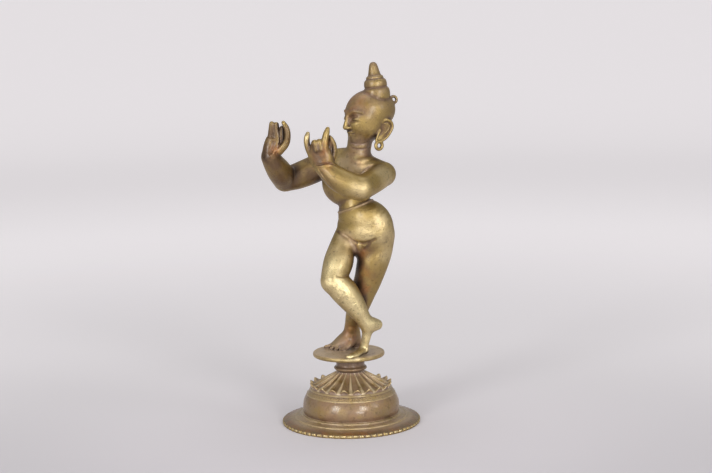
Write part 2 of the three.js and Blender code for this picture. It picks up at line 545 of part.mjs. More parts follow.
// ---------- fewer triangles: edges are collapsed in the order of the least quadric error ----------
function simplify({ V, T }, target) {
  const nv = V.length / 3, nf = T.length / 3, Q = new Float64Array(nv * 10), alive = new Uint8Array(nf).fill(1), stamp = new Int32Array(nv);
  const faces = Array.from({ length: nv }, () => []);
  const P = (v) => [V[v * 3], V[v * 3 + 1], V[v * 3 + 2]];
  const normal = (a, b, c) => cross(add(b, a, -1), add(c, a, -1));
  for (let f = 0; f < nf; f++) {
    const [a, b, c] = [T[f * 3], T[f * 3 + 1], T[f * 3 + 2]], N = normal(P(a), P(b), P(c)), A = Math.hypot(...N), n = unit(N), e = -dot(n, P(a));
    const q = [n[0] * n[0], n[0] * n[1], n[0] * n[2], n[0] * e, n[1] * n[1], n[1] * n[2], n[1] * e, n[2] * n[2], n[2] * e, e * e];
    for (const v of [a, b, c]) { for (let i = 0; i < 10; i++) Q[v * 10 + i] += q[i] * A; faces[v].push(f); }
  }
  const err = (q, p) => q[0] * p[0] * p[0] + 2 * q[1] * p[0] * p[1] + 2 * q[2] * p[0] * p[2] + 2 * q[3] * p[0] + q[4] * p[1] * p[1] + 2 * q[5] * p[1] * p[2] + 2 * q[6] * p[1] + q[7] * p[2] * p[2] + 2 * q[8] * p[2] + q[9];
  const best = (a, b) => {
    const q = []; for (let i = 0; i < 10; i++) q.push(Q[a * 10 + i] + Q[b * 10 + i]);
    const pa = P(a), pb = P(b), mid = add(pa, add(pb, pa, -1), 0.5), len = Math.hypot(...add(pb, pa, -1));
    const r0 = [q[0], q[1], q[2]], r1 = [q[1], q[4], q[5]], r2 = [q[2], q[5], q[7]], det = dot(r0, cross(r1, r2)), tr = q[0] + q[4] + q[7];
    let p = null;
    if (Math.abs(det) > 1e-5 * tr ** 3) {
      const c = [-q[3], -q[6], -q[8]];
      p = [dot(c, cross([r0[1], r1[1], r2[1]], [r0[2], r1[2], r2[2]])) / det, dot([r0[0], r1[0], r2[0]], cross(c, [r0[2], r1[2], r2[2]])) / det, dot([r0[0], r1[0], r2[0]], cross([r0[1], r1[1], r2[1]], c)) / det];
      if (Math.hypot(...add(p, mid, -1)) > len) p = null;
    }
    if (!p) p = [pa, pb, mid].reduce((x, y) => (err(q, y) < err(q, x) ? y : x));
    return [Math.max(0, err(q, p)) + 1e-7 * len * len, p];
  };
  // binary heap of collapses
  const heap = []; const less = (x, y) => x[0] < y[0];
  const push = (e) => { let i = heap.length; heap.push(e); while (i) { const p = (i - 1) >> 1; if (!less(heap[i], heap[p])) break; [heap[i], heap[p]] = [heap[p], heap[i]]; i = p; } };
  const pop = () => {
    const r = heap[0], e = heap.pop();
    if (heap.length) { heap[0] = e; let i = 0; for (;;) { let c = 2 * i + 1; if (c >= heap.length) break; if (c + 1 < heap.length && less(heap[c + 1], heap[c])) c++; if (!less(heap[c], heap[i])) break; [heap[i], heap[c]] = [heap[c], heap[i]]; i = c; } }
    return r;
  };
  const around = (v) => { const s = new Set(); for (const f of faces[v]) for (let i = 0; i < 3; i++) if (T[f * 3 + i] !== v) s.add(T[f * 3 + i]); return s; };
  const offer = (a, b) => { const [c, p] = best(a, b); push([c, a, b, stamp[a], stamp[b], p]); };
  for (let f = 0; f < nf; f++) for (let i = 0; i < 3; i++) { const a = T[f * 3 + i], b = T[f * 3 + (i + 1) % 3]; if (a < b) offer(a, b); }
  let left = nf;
  while (left > target && heap.length) {
    const [, a, b, sa, sb, p] = pop();
    if (stamp[a] !== sa || stamp[b] !== sb || !faces[a].length || !faces[b].length) continue;
    const na = around(a), nb = around(b); let shared = 0;
    for (const v of na) if (nb.has(v)) shared++;
    if (shared !== 2) continue;
    let ok = true;
    for (const [v, w] of [[a, b], [b, a]]) {
      for (const f of faces[v]) {
        const t = [T[f * 3], T[f * 3 + 1], T[f * 3 + 2]]; if (t.includes(w)) continue;
        const o = normal(...t.map(P)), m = normal(...t.map((x) => (x === v ? p : P(x)))), lo = Math.hypot(...o), lm = Math.hypot(...m);
        if (dot(o, m) < 0.35 * lo * lm || lm < 1e-3) { ok = false; break; }
        const e = t.map((x) => (x === v ? p : P(x))), per = Math.max(Math.hypot(...add(e[0], e[1], -1)), Math.hypot(...add(e[1], e[2], -1)), Math.hypot(...add(e[2], e[0], -1)));
        if (lm < 0.02 * per * per) { ok = false; break; }
      }
      if (!ok) break;
    }
    if (!ok) continue;
    for (let i = 0; i < 3; i++) V[a * 3 + i] = p[i];
    for (let i = 0; i < 10; i++) Q[a * 10 + i] += Q[b * 10 + i];
    for (const f of faces[b]) {
      const t = [T[f * 3], T[f * 3 + 1], T[f * 3 + 2]];
      if (t.includes(a)) { alive[f] = 0; left--; for (const v of t) if (v !== b) faces[v] = faces[v].filter((g) => g !== f); } else { T[f * 3 + t.indexOf(b)] = a; faces[a].push(f); }
    }
    faces[b] = []; stamp[b]++; stamp[a]++;
    for (const v of around(a)) offer(Math.min(a, v), Math.max(a, v));
  }
  const id = new Map(), oV = [], oT = [];
  for (let f = 0; f < nf; f++) if (alive[f]) for (let i = 0; i < 3; i++) {
    const v = T[f * 3 + i];
    if (!id.has(v)) { id.set(v, oV.length / 3); oV.push(V[v * 3], V[v * 3 + 1], V[v * 3 + 2]); }
    oT.push(id.get(v));
  }
  return { V: oV, T: oT };
}

// ---------- the pedestal: profiles turned round the axis, with petals and notches ----------
const smooth = (t) => { t = Math.min(1, Math.max(0, t)); return t * t * (3 - 2 * t); };
// how much a place on the lotus belongs to a petal's scoop, to the rib between two petals and to a petal's lip
function petalParts(u, phase) {
  const T = 2 * Math.PI, p = Math.abs(((((phase + Math.PI) % T) + T) % T) - Math.PI) / Math.PI, w = 0.15 + 0.33 * u ** 3;
  return [smooth((1 - w - p) / 0.3), smooth((p - 1 + w) / w), Math.max(0, 1 - (p / 0.6) ** 2) ** 0.8];
}
// lotus surface: u runs from the neck to the petal tips
function lotus(u, phase) {
  const [scoop, rib, lip] = petalParts(u, phase);
  return [NECK_RADIUS - 0.1 + (LOTUS_REACH + lip * smooth((u - 0.6) / 0.4)) * u,
    LOTUS_TOP - 10.3 * u + 0.9 * u * u - 1.5 * scoop * Math.sin(Math.PI * u ** 0.9) ** 0.8 + 0.35 * rib * Math.sin(Math.PI * (0.1 + 0.85 * u)) + LIP * lip * smooth((u - 0.8) / 0.2)];
}
function pedestalRows() {
  const rows = [], plain = (...points) => { for (const [r, z] of points) rows.push(() => [r, z]); };
  const T = NECK_TOP_Z, Z = NECK_RIDGE_Z, N = NECK_RIDGE_RADIUS, F = DOME_FOOT_Z;
  plain([NECK_RADIUS - 0.5, T], [NECK_RADIUS, T - 0.6], [NECK_RADIUS + 0.1, Z + 2.4], [NECK_RADIUS + 0.35, Z + 1.5], [N - 0.6, Z + 0.9], [N, Z + 0.2], [N - 0.05, Z - 0.5], [N - 0.8, Z - 1.2], [NECK_RADIUS + 0.1, Z - 1.7], [NECK_RADIUS - 0.25, 34.9]);
  for (const u of [0, 0.08, 0.18, 0.3, 0.42, 0.54, 0.66, 0.76, 0.84, 0.9, 0.95, 1]) rows.push((a) => lotus(u, a * PETALS + PETAL_TURN));
  const foot = (r, z, dr, dz) => rows.push((a) => { const [x, y] = lotus(1, a * PETALS + PETAL_TURN), lip = petalParts(1, a * PETALS + PETAL_TURN)[2]; return [x + r + dr * lip, y + z + dz * lip]; });
  foot(0.06, -0.25, 0, -0.1); foot(0.12, -0.7, -1.3, -1.3);
  rows.push((a) => { const lip = petalParts(1, a * PETALS + PETAL_TURN)[2]; return [26.85 - 0.2 * lip, 24.15 + 0.3 * lip]; });
  // bead lines, the bell and its foot
  plain([27.0, 23.65], [27.6, 23.3], [27.6, 22.8], [28.6, 21.4], [29.2, 20.4], [29.72, 20.1], [29.78, 19.55], [30.55, 18.2], [31.3, 16.6], [32.0, 14.4], [32.35, 12], [DOME_RADIUS, 9.8], [32.2, 8], [31.9, 6.9],
    [32, F + 0.1], [33.1, F - 0.1], [33.5, F - 0.85], [34.1, 5.2], [36.4, 4.55], [36.95, 4.62], [37.65, 4.1], [38.4, 3.75], [41, 3.25], [44.4, RIM_THICKNESS + 0.4]);
  // nicked edge of the flange
  const R = RIM_RADIUS, t = RIM_THICKNESS, gap = (a) => 1 - smooth((Math.cos(a * NOTCHES) + 0.8) / 0.5);
  rows.push(() => [R - 1.1, t + 0.15], (a) => [R - 0.2 - NOTCH_DEPTH * gap(a), t - 0.1 - 0.5 * gap(a)], (a) => [R - NOTCH_DEPTH * gap(a), t - 0.8], (a) => [R - 0.1 - 0.5 * NOTCH_DEPTH * gap(a), 0.5], () => [R - 0.6, 0]);
  // hollow underside
  const D = DOME_RADIUS - WALL;
  plain([D + 0.6, 0], [D, 0.6], [D, 12], [28.2, 15.5], [26.2, 18.6], [22, 21.6], [12, 25.4], [5, 26.4]);
  return rows;
}
function turned(rows, around) {
  const V = [], T = [], m = rows.length;
  for (let i = 0; i < around; i++) for (let j = 0; j < m; j++) { const a = (i / around) * 2 * Math.PI, [r, z] = rows[j](a); V.push(r * Math.cos(a), r * Math.sin(a), z); }
  const top = around * m, low = top + 1; V.push(0, 0, NECK_TOP_Z, 0, 0, 26.5);
  for (let i = 0; i < around; i++) {
    const a = i * m, b = ((i + 1) % around) * m;
    for (let j = 0; j + 1 < m; j++) T.push(a + j, a + j + 1, b + j, b + j, a + j + 1, b + j + 1);
    T.push(top, a, b, low, b + m - 1, a + m - 1);
  }
  return { V: Float64Array.from(V), T: Int32Array.from(T) };
}

// ---------- meshes ----------
function piece(name, { V, T }, material) {
  const g = new THREE.BufferGeometry();
  g.setAttribute('position', new THREE.BufferAttribute(Float32Array.from(V), 3));
  g.setIndex(Array.from(T));
  g.computeVertexNormals();
  const m = new THREE.Mesh(g, material); m.name = name;
  return m;
}
// the flat faces stay exactly flat
const level = (s, planes) => { for (let i = 2; i < s.V.length; i += 3) for (const z of planes) if (Math.abs(s.V[i] - z) < 0.02) s.V[i] = z; return s; };

const brass = new THREE.MeshStandardMaterial({ color: 0xa8843c, roughness: 0.38, metalness: 1.0 });
const darkBrass = new THREE.MeshStandardMaterial({ color: 0x8a6a3a, roughness: 0.5, metalness: 1.0 });

const model = new THREE.Group();
model.add(piece('figure', level(simplify(skin(figureField(CELL)), FIGURE_TRIANGLES), DISC_Z), brass));
model.add(piece('pedestal', level(simplify(turned(pedestalRows(), 280), PEDESTAL_TRIANGLES), [0, NECK_TOP_Z]), darkBrass));
export default model;
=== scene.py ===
# Small standing brass altar figure of a flute player on a bell-shaped lotus pedestal: looks.
# Lengths in the tables are millimetres in the row frame; Blender objects are in metres.
import math
import bpy
import numpy as np
from mathutils import Matrix


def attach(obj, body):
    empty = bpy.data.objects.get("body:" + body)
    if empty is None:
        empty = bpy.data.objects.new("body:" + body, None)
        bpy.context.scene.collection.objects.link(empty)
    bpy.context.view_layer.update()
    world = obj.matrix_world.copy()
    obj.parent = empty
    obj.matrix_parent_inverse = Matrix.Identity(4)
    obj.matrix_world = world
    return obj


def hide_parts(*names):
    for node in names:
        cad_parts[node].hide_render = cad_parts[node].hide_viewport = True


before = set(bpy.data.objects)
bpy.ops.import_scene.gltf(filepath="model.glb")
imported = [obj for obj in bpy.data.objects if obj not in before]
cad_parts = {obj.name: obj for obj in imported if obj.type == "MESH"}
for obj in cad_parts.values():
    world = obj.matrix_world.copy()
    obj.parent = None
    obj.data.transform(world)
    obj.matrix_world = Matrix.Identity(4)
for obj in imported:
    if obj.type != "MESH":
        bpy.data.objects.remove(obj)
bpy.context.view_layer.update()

# ---------------------------------------------------------------- landmarks of the body
# x, y, z, girth radius, and how much wider the section is along "side"
LIMBS = {
  "chest": {
    "side": [[0.99, 0.09, -0.12], [0.99, 0.09, -0.12], [0.99, 0.09, -0.07], [1, 0.09, -0.03], [0.99, 0.09, 0.09], [0.98, 0.09, 0.17]],
    "rows": {
      "upper ribs": [3, 4.5, 170.6, 10, 1.6],
      "breast": [-1.2, 1, 162.8, 10.8, 1.56],
      "lower ribs": [-0.9, 0.6, 158.2, 10.5, 1.47],
      "flank": [3, 2.7, 152.9, 9.1, 1.17],
      "waist": [4, 2.8, 148.6, 9, 1.14],
      "waist cord": [4.6, 3.2, 145.3, 9.3, 1.1]
    }
  },
  "belly": {
    "side": [[0.99, 0.09, 0.14], [1, 0.09, 0.03], [1, 0.09, 0], [1, 0.09, 0.02], [0.99, 0.09, 0.05]],
    "rows": {
      "waist cord": [3.7, 2.6, 143.9, 9.3, 1.1],
      "navel": [5.7, 4, 138.9, 11.6, 1.24],
      "belly": [9.4, 6.6, 133.9, 14.2, 1.335],
      "hips": [9.3, 7.1, 129, 14.6, 1.345],
      "loins": [9, 8.1, 123.2, 13, 1.28]
    }
  },
  "shoulders": {
    "rows": {
      "right shoulder": [-15.8, 3.6, 174.4, 8.3, 1],
      "right collar": [-4.4, 4.8, 174.7, 8.8, 1],
      "breastbone": [5.7, 5.2, 172.7, 9.2, 1],
      "left collar": [15.8, 6.8, 169.7, 8.4, 1],
      "left shoulder": [23.4, 9, 166.9, 7.9, 1]
    }
  },
  "left leg": {
    "rows": {
      "hip": [17, 10.7, 125.4, 10.7, 1],
      "upper thigh": [16.3, 9.6, 116.8, 10.7, 1],
      "mid thigh": [14.2, 8.1, 108.1, 10.5, 1],
      "knee": [10.9, 7, 96.6, 9.2, 1],
      "upper calf": [7.9, 5.5, 88.4, 8.5, 1],
      "calf": [4.5, 5, 79.4, 7.5, 1],
      "lower calf": [0.7, 5.3, 71.5, 6.1, 1],
      "ankle": [-2.9, 6.5, 64.1, 4.6, 1],
      "instep": [-4, 6.9, 59.1, 4.4, 1]
    }
  },
  "right thigh": {
    "rows": {
      "hip": [-1, 0.5, 124.2, 9, 1],
      "upper thigh": [-1.2, -5.7, 116.9, 8.9, 1],
      "mid thigh": [-0.1, -11, 109.7, 9.8, 1],
      "lower thigh": [0.3, -15.6, 103.1, 9, 1],
      "knee": [0.9, -18.3, 98.2, 8.6, 1]
    }
  },
  "right shin": {
    "rows": {
      "knee": [1.1, -17.9, 98.2, 8.5, 1],
      "upper calf": [6.3, -14, 90.9, 9, 1],
      "calf": [11.4, -9, 80.6, 7.1, 1],
      "shin": [14.5, -5, 72.3, 5.1, 1],
      "ankle": [15.9, -2.9, 67.6, 4, 1]
    }
  },
  "right foot": {
    "side": [[0.93, -0.37, 0]],
    "rows": {
      "ankle": [15.9, -2.9, 67.6, 3.9, 1],
      "instep": [15.6, -2.5, 62.1, 2.9, 1.38],
      "ball": [14, -2.5, 55.9, 2.2, 1.75],
      "tread": [12.7, -2.4, 50.8, 2.1, 1.85]
    }
  },
  "right heel": {
    "rows": {
      "ankle": [15.6, -2, 69.1, 4.2, 1],
      "hollow": [17.3, 1.3, 67.5, 4.8, 1],
      "heel": [19, 4.7, 66.9, 3.7, 1]
    }
  },
  "left heel": {
    "rows": {
      "ankle": [-3, 7.7, 62.5, 4.7, 1],
      "back": [-3.1, 10, 55.6, 4.3, 1],
      "heel": [-3.9, 12.5, 49.9, 3.7, 1]
    }
  },
  "left foot inner": {
    "side": [[0.76, -0.65, 0]],
    "rows": {
      "instep": [-4.6, 7.1, 57.7, 4.4, 1.08],
      "arch": [-8, 4.4, 54.6, 3.9, 1.5],
      "ball": [-11.1, 1.4, 51.8, 2.8, 2.2],
      "toes": [-12.9, -0.5, 50.4, 2, 2.4]
    }
  },
  "left foot outer": {
    "side": [[0.99, 0.16, 0]],
    "rows": {
      "instep": [-3.6, 6, 54.2, 3.4, 1.2],
      "ball": [-4.4, 2.4, 51.3, 2.3, 2],
      "small toes": [-5.1, 0.7, 50.1, 1.7, 2.2]
    }
  },
  "right upper arm": {
    "rows": {
      "shoulder": [-15.8, 3.6, 174.4, 8.4, 1],
      "deltoid": [-25.8, -2.2, 169, 9.1, 1],
      "biceps": [-34.7, -8.4, 164.9, 8.7, 1],
      "elbow": [-41, -13.4, 162.9, 7.8, 1]
    }
  },
  "right forearm": {
    "rows": {
      "elbow": [-40.4, -14.2, 162.9, 7.9, 1],
      "forearm": [-37.4, -23.2, 168.9, 8.2, 1],
      "lower forearm": [-35.6, -31.6, 175.3, 7, 1],
      "wrist": [-34.9, -36, 179.9, 6.1, 1]
    }
  },
  "left upper arm": {
    "rows": {
      "shoulder": [23.3, 9, 166.9, 8, 1],
      "biceps": [25.3, -4.2, 164.2, 8, 1],
      "elbow": [25.6, -19.9, 160.7, 8, 1]
    }
  },
  "left forearm": {
    "rows": {
      "elbow": [25.5, -20, 160.3, 8, 1],
      "forearm": [19, -24.5, 163, 8.3, 1],
      "lower forearm": [11.4, -28.6, 167.9, 7.5, 1],
      "wrist": [5.1, -31.2, 174.4, 6.2, 1]
    }
  },
  "neck": {
    "rows": {
      "throat": [7.9, 5.5, 190.5, 8.2, 1],
      "neck": [6.5, 5.2, 182.6, 8, 1],
      "root": [5, 5.3, 175.9, 9, 1]
    }
  },
  "left palm": {
    "side": [[0.94, 0.35, 0]],
    "rows": {
      "wrist": [5.1, -31.2, 174.7, 5.7, 1.08],
      "palm": [3.5, -33, 180.5, 4.6, 1.72],
      "knuckles": [2.5, -34.3, 186, 3.9, 1.8]
    }
  },
  "left little finger": {
    "rows": {
      "root": [-1.7, -35.4, 182.2, 2.5, 1],
      "first joint": [-3.2, -37, 186.1, 2, 1],
      "second joint": [-3.9, -37.5, 190.2, 1.95, 1],
      "last joint": [-3.8, -37.5, 193.4, 1.85, 1],
      "tip": [-3.6, -36.7, 195.9, 1.3, 1]
    }
  },
  "left ring finger": {
    "rows": {
      "root": [0, -35.4, 184.8, 2.2, 1],
      "first joint": [0.9, -36.4, 189, 2.1, 1],
      "second joint": [2.6, -37.6, 190, 1.95, 1],
      "tip": [3.6, -37.6, 185.7, 1.6, 1]
    }
  },
  "left middle finger": {
    "rows": {
      "root": [2.9, -33.4, 184.7, 2.3, 1],
      "first joint": [3.5, -34.5, 189.5, 2.1, 1],
      "second joint": [5.1, -35.9, 190.5, 1.95, 1],
      "tip": [6, -36, 185.9, 1.6, 1]
    }
  },
  "left forefinger": {
    "rows": {
      "root": [6.8, -33.1, 183.5, 2.6, 1],
      "first joint": [7.3, -33.7, 188.3, 2.35, 1],
      "second joint": [7.5, -33.3, 192.5, 2.2, 1],
      "last joint": [7.9, -32.3, 196.1, 2, 1],
      "tip": [8.3, -31.4, 198.8, 1.35, 1]
    }
  },
  "left thumb": {
    "rows": {
      "root": [7.8, -28.1, 178, 2.5, 1],
      "first joint": [8.8, -26.2, 182.7, 2.1, 1],
      "second joint": [8.9, -26.1, 187.5, 1.95, 1],
      "last joint": [8.2, -27.4, 191.4, 1.7, 1],
      "tip": [7.7, -28.8, 193.4, 1.3, 1]
    }
  },
  "left web": {
    "rows": {
      "palm": [6.1, -28.7, 180, 2.6, 1],
      "root": [6.8, -28.2, 185.7, 1.7, 1],
      "tip": [7.2, -28.5, 190.2, 1.35, 1]
    }
  },
  "right palm": {
    "side": [[0.82, 0.57, 0]],
    "rows": {
      "wrist": [-35.1, -36.2, 179.6, 5.1, 1],
      "palm": [-33.5, -36.3, 184.5, 4.2, 1.42],
      "knuckles": [-32.1, -35.3, 190.4, 3.1, 1.85]
    }
  },
  "right outer fingers": {
    "rows": {
      "root": [-34.7, -35.9, 189, 2.4, 1],
      "joint": [-33.5, -36.3, 195.6, 2.15, 1],
      "tip": [-32.5, -36.8, 201.6, 1.7, 1]
    }
  },
  "right inner fingers": {
    "rows": {
      "root": [-31.4, -34.8, 189.7, 2.5, 1],
      "joint": [-30.6, -34.9, 195.6, 2.25, 1],
      "tip": [-29.9, -35.4, 201, 1.75, 1]
    }
  },
  "right forefinger": {
    "rows": {
      "root": [-28.7, -34.8, 183.9, 2.9, 1],
      "first joint": [-24.2, -33.4, 188.5, 2.35, 1],
      "second joint": [-22.4, -33.4, 193.7, 2, 1],
      "last joint": [-22.9, -33.7, 198.6, 1.85, 1],
      "tip": [-24.5, -34.8, 202.4, 1.3, 1]
    }
  },
  "right thumb": {
    "rows": {
      "root": [-29.6, -34.2, 185.1, 2.6, 1],
      "joint": [-28.1, -32.5, 189.3, 2.1, 1],
      "last joint": [-27.6, -32.5, 194.2, 1.9, 1],
      "tip": [-27.2, -33, 199.1, 1.3, 1]
    }
  },
  "left great toe": {
    "rows": {
      "root": [-14.4, 6.8, 50.5, 1.9, 1],
      "joint": [-15.5, 0.2, 49.8, 1.7, 1],
      "tip": [-18.4, -2.8, 49.1, 1.35, 1]
    }
  },
  "left second toe": {
    "rows": {
      "root": [-11.7, 5.7, 50.3, 1.5, 1],
      "joint": [-11.5, -1.3, 49.7, 1.35, 1],
      "tip": [-12.8, -4.4, 48.9, 1.1, 1]
    }
  },
  "left third toe": {
    "rows": {
      "root": [-9.3, 5.4, 50.2, 1.45, 1],
      "joint": [-8, -1.8, 49.6, 1.3, 1],
      "tip": [-8.3, -5.5, 48.9, 1.05, 1]
    }
  },
  "left fourth toe": {
    "rows": {
      "root": [-7.3, 5.6, 50.1, 1.4, 1],
      "joint": [-5.2, -1.1, 49.5, 1.25, 1],
      "tip": [-4.8, -5.1, 48.8, 1, 1]
    }
  },
  "left small toe": {
    "rows": {
      "root": [-6, 6.6, 49.9, 1.35, 1],
      "joint": [-3.2, 0.6, 49.4, 1.2, 1],
      "tip": [-2.4, -3, 48.8, 0.95, 1]
    }
  },
  "right toes": {
    "side": [[0.98, -0.21, 0]],
    "rows": {
      "root": [12.7, -3.2, 50.2, 2.1, 1.9],
      "middle": [14, -12.4, 49.6, 1.65, 2.2],
      "fore": [13.7, -18.9, 49.4, 1.45, 2.1],
      "tips": [12.4, -20.9, 49.1, 1.15, 1.7]
    }
  },
}

HEAD_CENTRE = [12.5, 8.7, 206]
HEAD_FORWARD = [-0.372, -0.92, -0.122]
HEAD_UP = [-0.046, -0.113, 0.993]
KNOT_FOOT = [17.8, 11.2, 216.9]
KNOT_TOP = [15.8, 9.8, 240]
KNOT_PROFILE = ((-3, 7.0), (-0.9, 8.3), (0.3, 8.75), (2.6, 8.9), (5.0, 8.6), (6.3, 7.7), (6.8, 7.2), (7.4, 7.55), (8.9, 7.55), (10.6, 7.3), (11.7, 6.6), (12.2, 5.7), (12.8, 5.8),
                (13.7, 5.5), (14.3, 4.7), (14.8, 4.2), (17.2, 3.6), (19.8, 3.05), (21.8, 2.45), (22.9, 1.6), (23.4, 0.0))
LOOP_CENTRE = [23.8, 21.5, 215.1]
LOOP_AXIS = [0.82, -0.56, 0.1]
BUTTOCKS = (([12.8, 16.3, 125.8], (10.8, 10.5, 12.5)), ([-0.7, 11.7, 124.2], (10.5, 10, 12)))
DISC_RADIUS, DISC_Z, DISC_CENTRE = 24.0, (44.9, 47.9), (-0.95, -0.3)

# where a line is raised or cut: name, mode, blend, rows of x, y, z, radius
DETAILS = (
    ("lower belly crease", "cut", 2.2, ((-5, -5.7, 129.9, 0.2), (0.1, -8.1, 128.4, 0.3), (4.5, -8, 126.2, 0.45), (8.1, -7, 123.7, 0.6), (12.3, -6.1, 122.4, 0.55), (16.4, -5, 122.4, 0.45), (20.3, -3.7, 123.5, 0.35), (23.4, -2.3, 125, 0.2),)),
    ("right groin crease", "cut", 1.0, ((5.2, -7.8, 125.2, 0.15), (7.3, -6.9, 122.9, 0.2), (9.1, -5.3, 120.2, 0.25), (9.5, -3.7, 117.3, 0.25),)),
    ("left groin crease", "cut", 1.8, ((19.9, -3.2, 122, 0.12), (17.5, -3.3, 119.8, 0.2), (15.4, -3.1, 117.8, 0.2),)),
    ("small rounded form", "add", 1.0, ((12.3, -4.7, 121.5, 1.3), (11.9, -3.7, 119.5, 1.7), (11.4, -2.8, 117.8, 1.5),)),
    ("back of knee crease", "cut", 1.4, ((7.1, -22.9, 103.1, 0.1), (8.4, -21.4, 102.3, 0.2), (9.6, -18.6, 101.9, 0.28), (9.7, -14.6, 102, 0.28),)),
    ("forearm rim", "add", 0.6, ((3.4, -37.2, 173.9, 0.35), (5.2, -36.7, 171.3, 0.5), (7.5, -36.1, 168.1, 0.55), (11.7, -34.1, 162.7, 0.55), (15.3, -30.8, 158.2, 0.5), (18.5, -27.1, 155.1, 0.3),)),
    ("wrist crease", "cut", 0.8, ((3.6, -37.6, 176.4, 0.3), (6, -37.4, 176.4, 0.45), (9.4, -35.5, 177.3, 0.5), (11.5, -32.9, 177, 0.45), (13.4, -31.3, 175.6, 0.25),)),
    ("wrist rim", "add", 0.7, ((4, -37.4, 175.1, 0.3), (6.6, -37.1, 175.2, 0.45), (9.9, -35.2, 176, 0.5), (12.1, -32.9, 175.6, 0.4), (14.3, -31.7, 174.2, 0.25),)),
    ("neck ring high", "cut", 0.7, ((5.8, -2.7, 188.1, 0.25), (9.2, -2.7, 187.4, 0.38), (12.2, -1.3, 187.1, 0.4), (14.5, 1.1, 187.4, 0.38), (15.9, 3.7, 188, 0.25),)),
    ("neck ring low", "cut", 0.7, ((5.5, -2.6, 185, 0.25), (8.9, -2.5, 184.1, 0.38), (11.9, -0.9, 183.7, 0.4), (14.4, 2.4, 183.9, 0.38), (15, 6.1, 184.6, 0.25),)),
    ("arm fold", "cut", 0.9, ((14, -3.6, 168.2, 0.2), (15.9, -2.7, 170, 0.35), (18.1, -1.2, 171.9, 0.35), (20.5, 0.6, 173.5, 0.2),)),
    ("collarbone", "add", 2.2, ((16.9, 5, 177.2, 0.6), (14, 0.2, 176.2, 0.9), (10.8, -2.4, 175.5, 0.7),)),
    ("right palm ridge", "add", 1.4, ((-28.7, -34.8, 196.3, 0.5), (-28.7, -35.6, 190.4, 0.6), (-29.7, -37.8, 184.8, 0.8), (-31.4, -40.4, 180.7, 0.6),)),
    ("right palm hollow", "cut", 2.2, ((-30.1, -38.6, 189.4, 0.2), (-30.4, -39.4, 186.8, 0.3), (-31, -40.6, 183.4, 0.2),)),
    ("right foot sole line", "cut", 0.6, ((16.6, -4.6, 52.8, 0.2), (16.9, -5.1, 51, 0.24), (17.3, -8.7, 49.7, 0.26), (17.1, -14.5, 48.7, 0.24),)),
    ("right foot toe one", "cut", 0.6, ((16.1, -20, 49.6, 0.2), (14.8, -21.6, 49.4, 0.24), (13, -22, 48.8, 0.22),)),
    ("left ankle bone", "add", 2.0, ((-1.4, 3.6, 62.3, 1.2), (-1.3, 3.9, 61.5, 1.2),)),
)
WAIST_CORD = ((4.2, 3, 145.5), (-0.307, -0.146, 0.94))


# ---------------------------------------------------------------- a sampled distance field
def unit(v):
    v = np.asarray(v, float)
    return v / (np.linalg.norm(v) + 1e-12)


def smin(a, b, k):
    if k <= 0:
        return np.minimum(a, b)
    h = np.maximum(k - np.abs(a - b), 0) * (1 / k)
    return np.minimum(a, b) - h * h * (k * 0.25)


class Field:
    """Signed distance on a grid. A group is a smaller field on the same grid."""

    def __init__(s, h, i0, n, pad, far=50.0):
        s.h, s.i0, s.n, s.pad, s.far = h, np.asarray(i0, int), np.asarray(n, int), pad, far
        s.ax = [(h * (s.i0[i] + np.arange(s.n[i]))).astype(np.float32) for i in range(3)]
        s.d = np.full(tuple(s.n), far, np.float32)

    @staticmethod
    def over(lo, hi, h, pad):
        i0 = np.floor(np.asarray(lo, float) / h).astype(int)
        return Field(h, i0, np.ceil(np.asarray(hi, float) / h).astype(int) + 1 - i0, pad)

    def index(s, lo, hi):
        a = np.maximum(np.floor(np.asarray(lo, float) / s.h).astype(int), s.i0)
        b = np.minimum(np.ceil(np.asarray(hi, float) / s.h).astype(int) + 1, s.i0 + s.n)
        return a, b

    def group(s, lo, hi, k=0.0):
        a, b = s.index(np.asarray(lo, float) - s.pad - k, np.asarray(hi, float) + s.pad + k)
        b = np.maximum(b, a + 1)
        return Field(s.h, a, b - a, s.pad, s.far)

    def view(s, a, b):
        sl = tuple(slice(x, y) for x, y in zip(a - s.i0, b - s.i0))
        return sl, s.ax[0][sl[0]][:, None, None], s.ax[1][sl[1]][None, :, None], s.ax[2][sl[2]][None, None, :]

    def put(s, lo, hi, fn, k=0.0, mode="add", pad=None):
        pad = k + s.pad if pad is None else pad
        a, b = s.index(np.asarray(lo, float) - pad, np.asarray(hi, float) + pad)
        if (b <= a).any():
            return
        sl, X, Y, Z = s.view(a, b)
        d = fn(X, Y, Z)
        s.d[sl] = smin(s.d[sl], d, k) if mode == "add" else -smin(-s.d[sl], d, k)

    def merge(s, g, k):
        a, b = np.maximum(s.i0, g.i0), np.minimum(s.i0 + s.n, g.i0 + g.n)
        if (b <= a).any():
            return
        m, n = s.view(a, b)[0], g.view(a, b)[0]
        s.d[m] = smin(s.d[m], g.d[n], k)


def length_fn(a, b, ra, rb, fa, fb, w):
    a, b = np.asarray(a, np.float32), np.asarray(b, np.float32)
    ab = b - a
    scale = 1 / (float(ab @ ab) + 1e-9)

    def fn(X, Y, Z):
        qx, qy, qz = X - a[0], Y - a[1], Z - a[2]
        t = np.clip((qx * ab[0] + qy * ab[1] + qz * ab[2]) * scale, 0, 1)
        dx, dy, dz = qx - t * ab[0], qy - t * ab[1], qz - t * ab[2]
        r = ra + (rb - ra) * t
        d2 = dx * dx + dy * dy + dz * dz
        if w is None:
            return np.sqrt(d2) - r
        f = fa + (fb - fa) * t
        c = (dx * w[0] + dy * w[1] + dz * w[2]) / f
        e = np.maximum(d2 - (c * f) ** 2, 0)
        k0 = np.sqrt(e + c * c) + 1e-6
        k1 = np.sqrt(e + (c / f) ** 2) + 1e-6
        return (k0 - r) * k0 / k1
    return fn


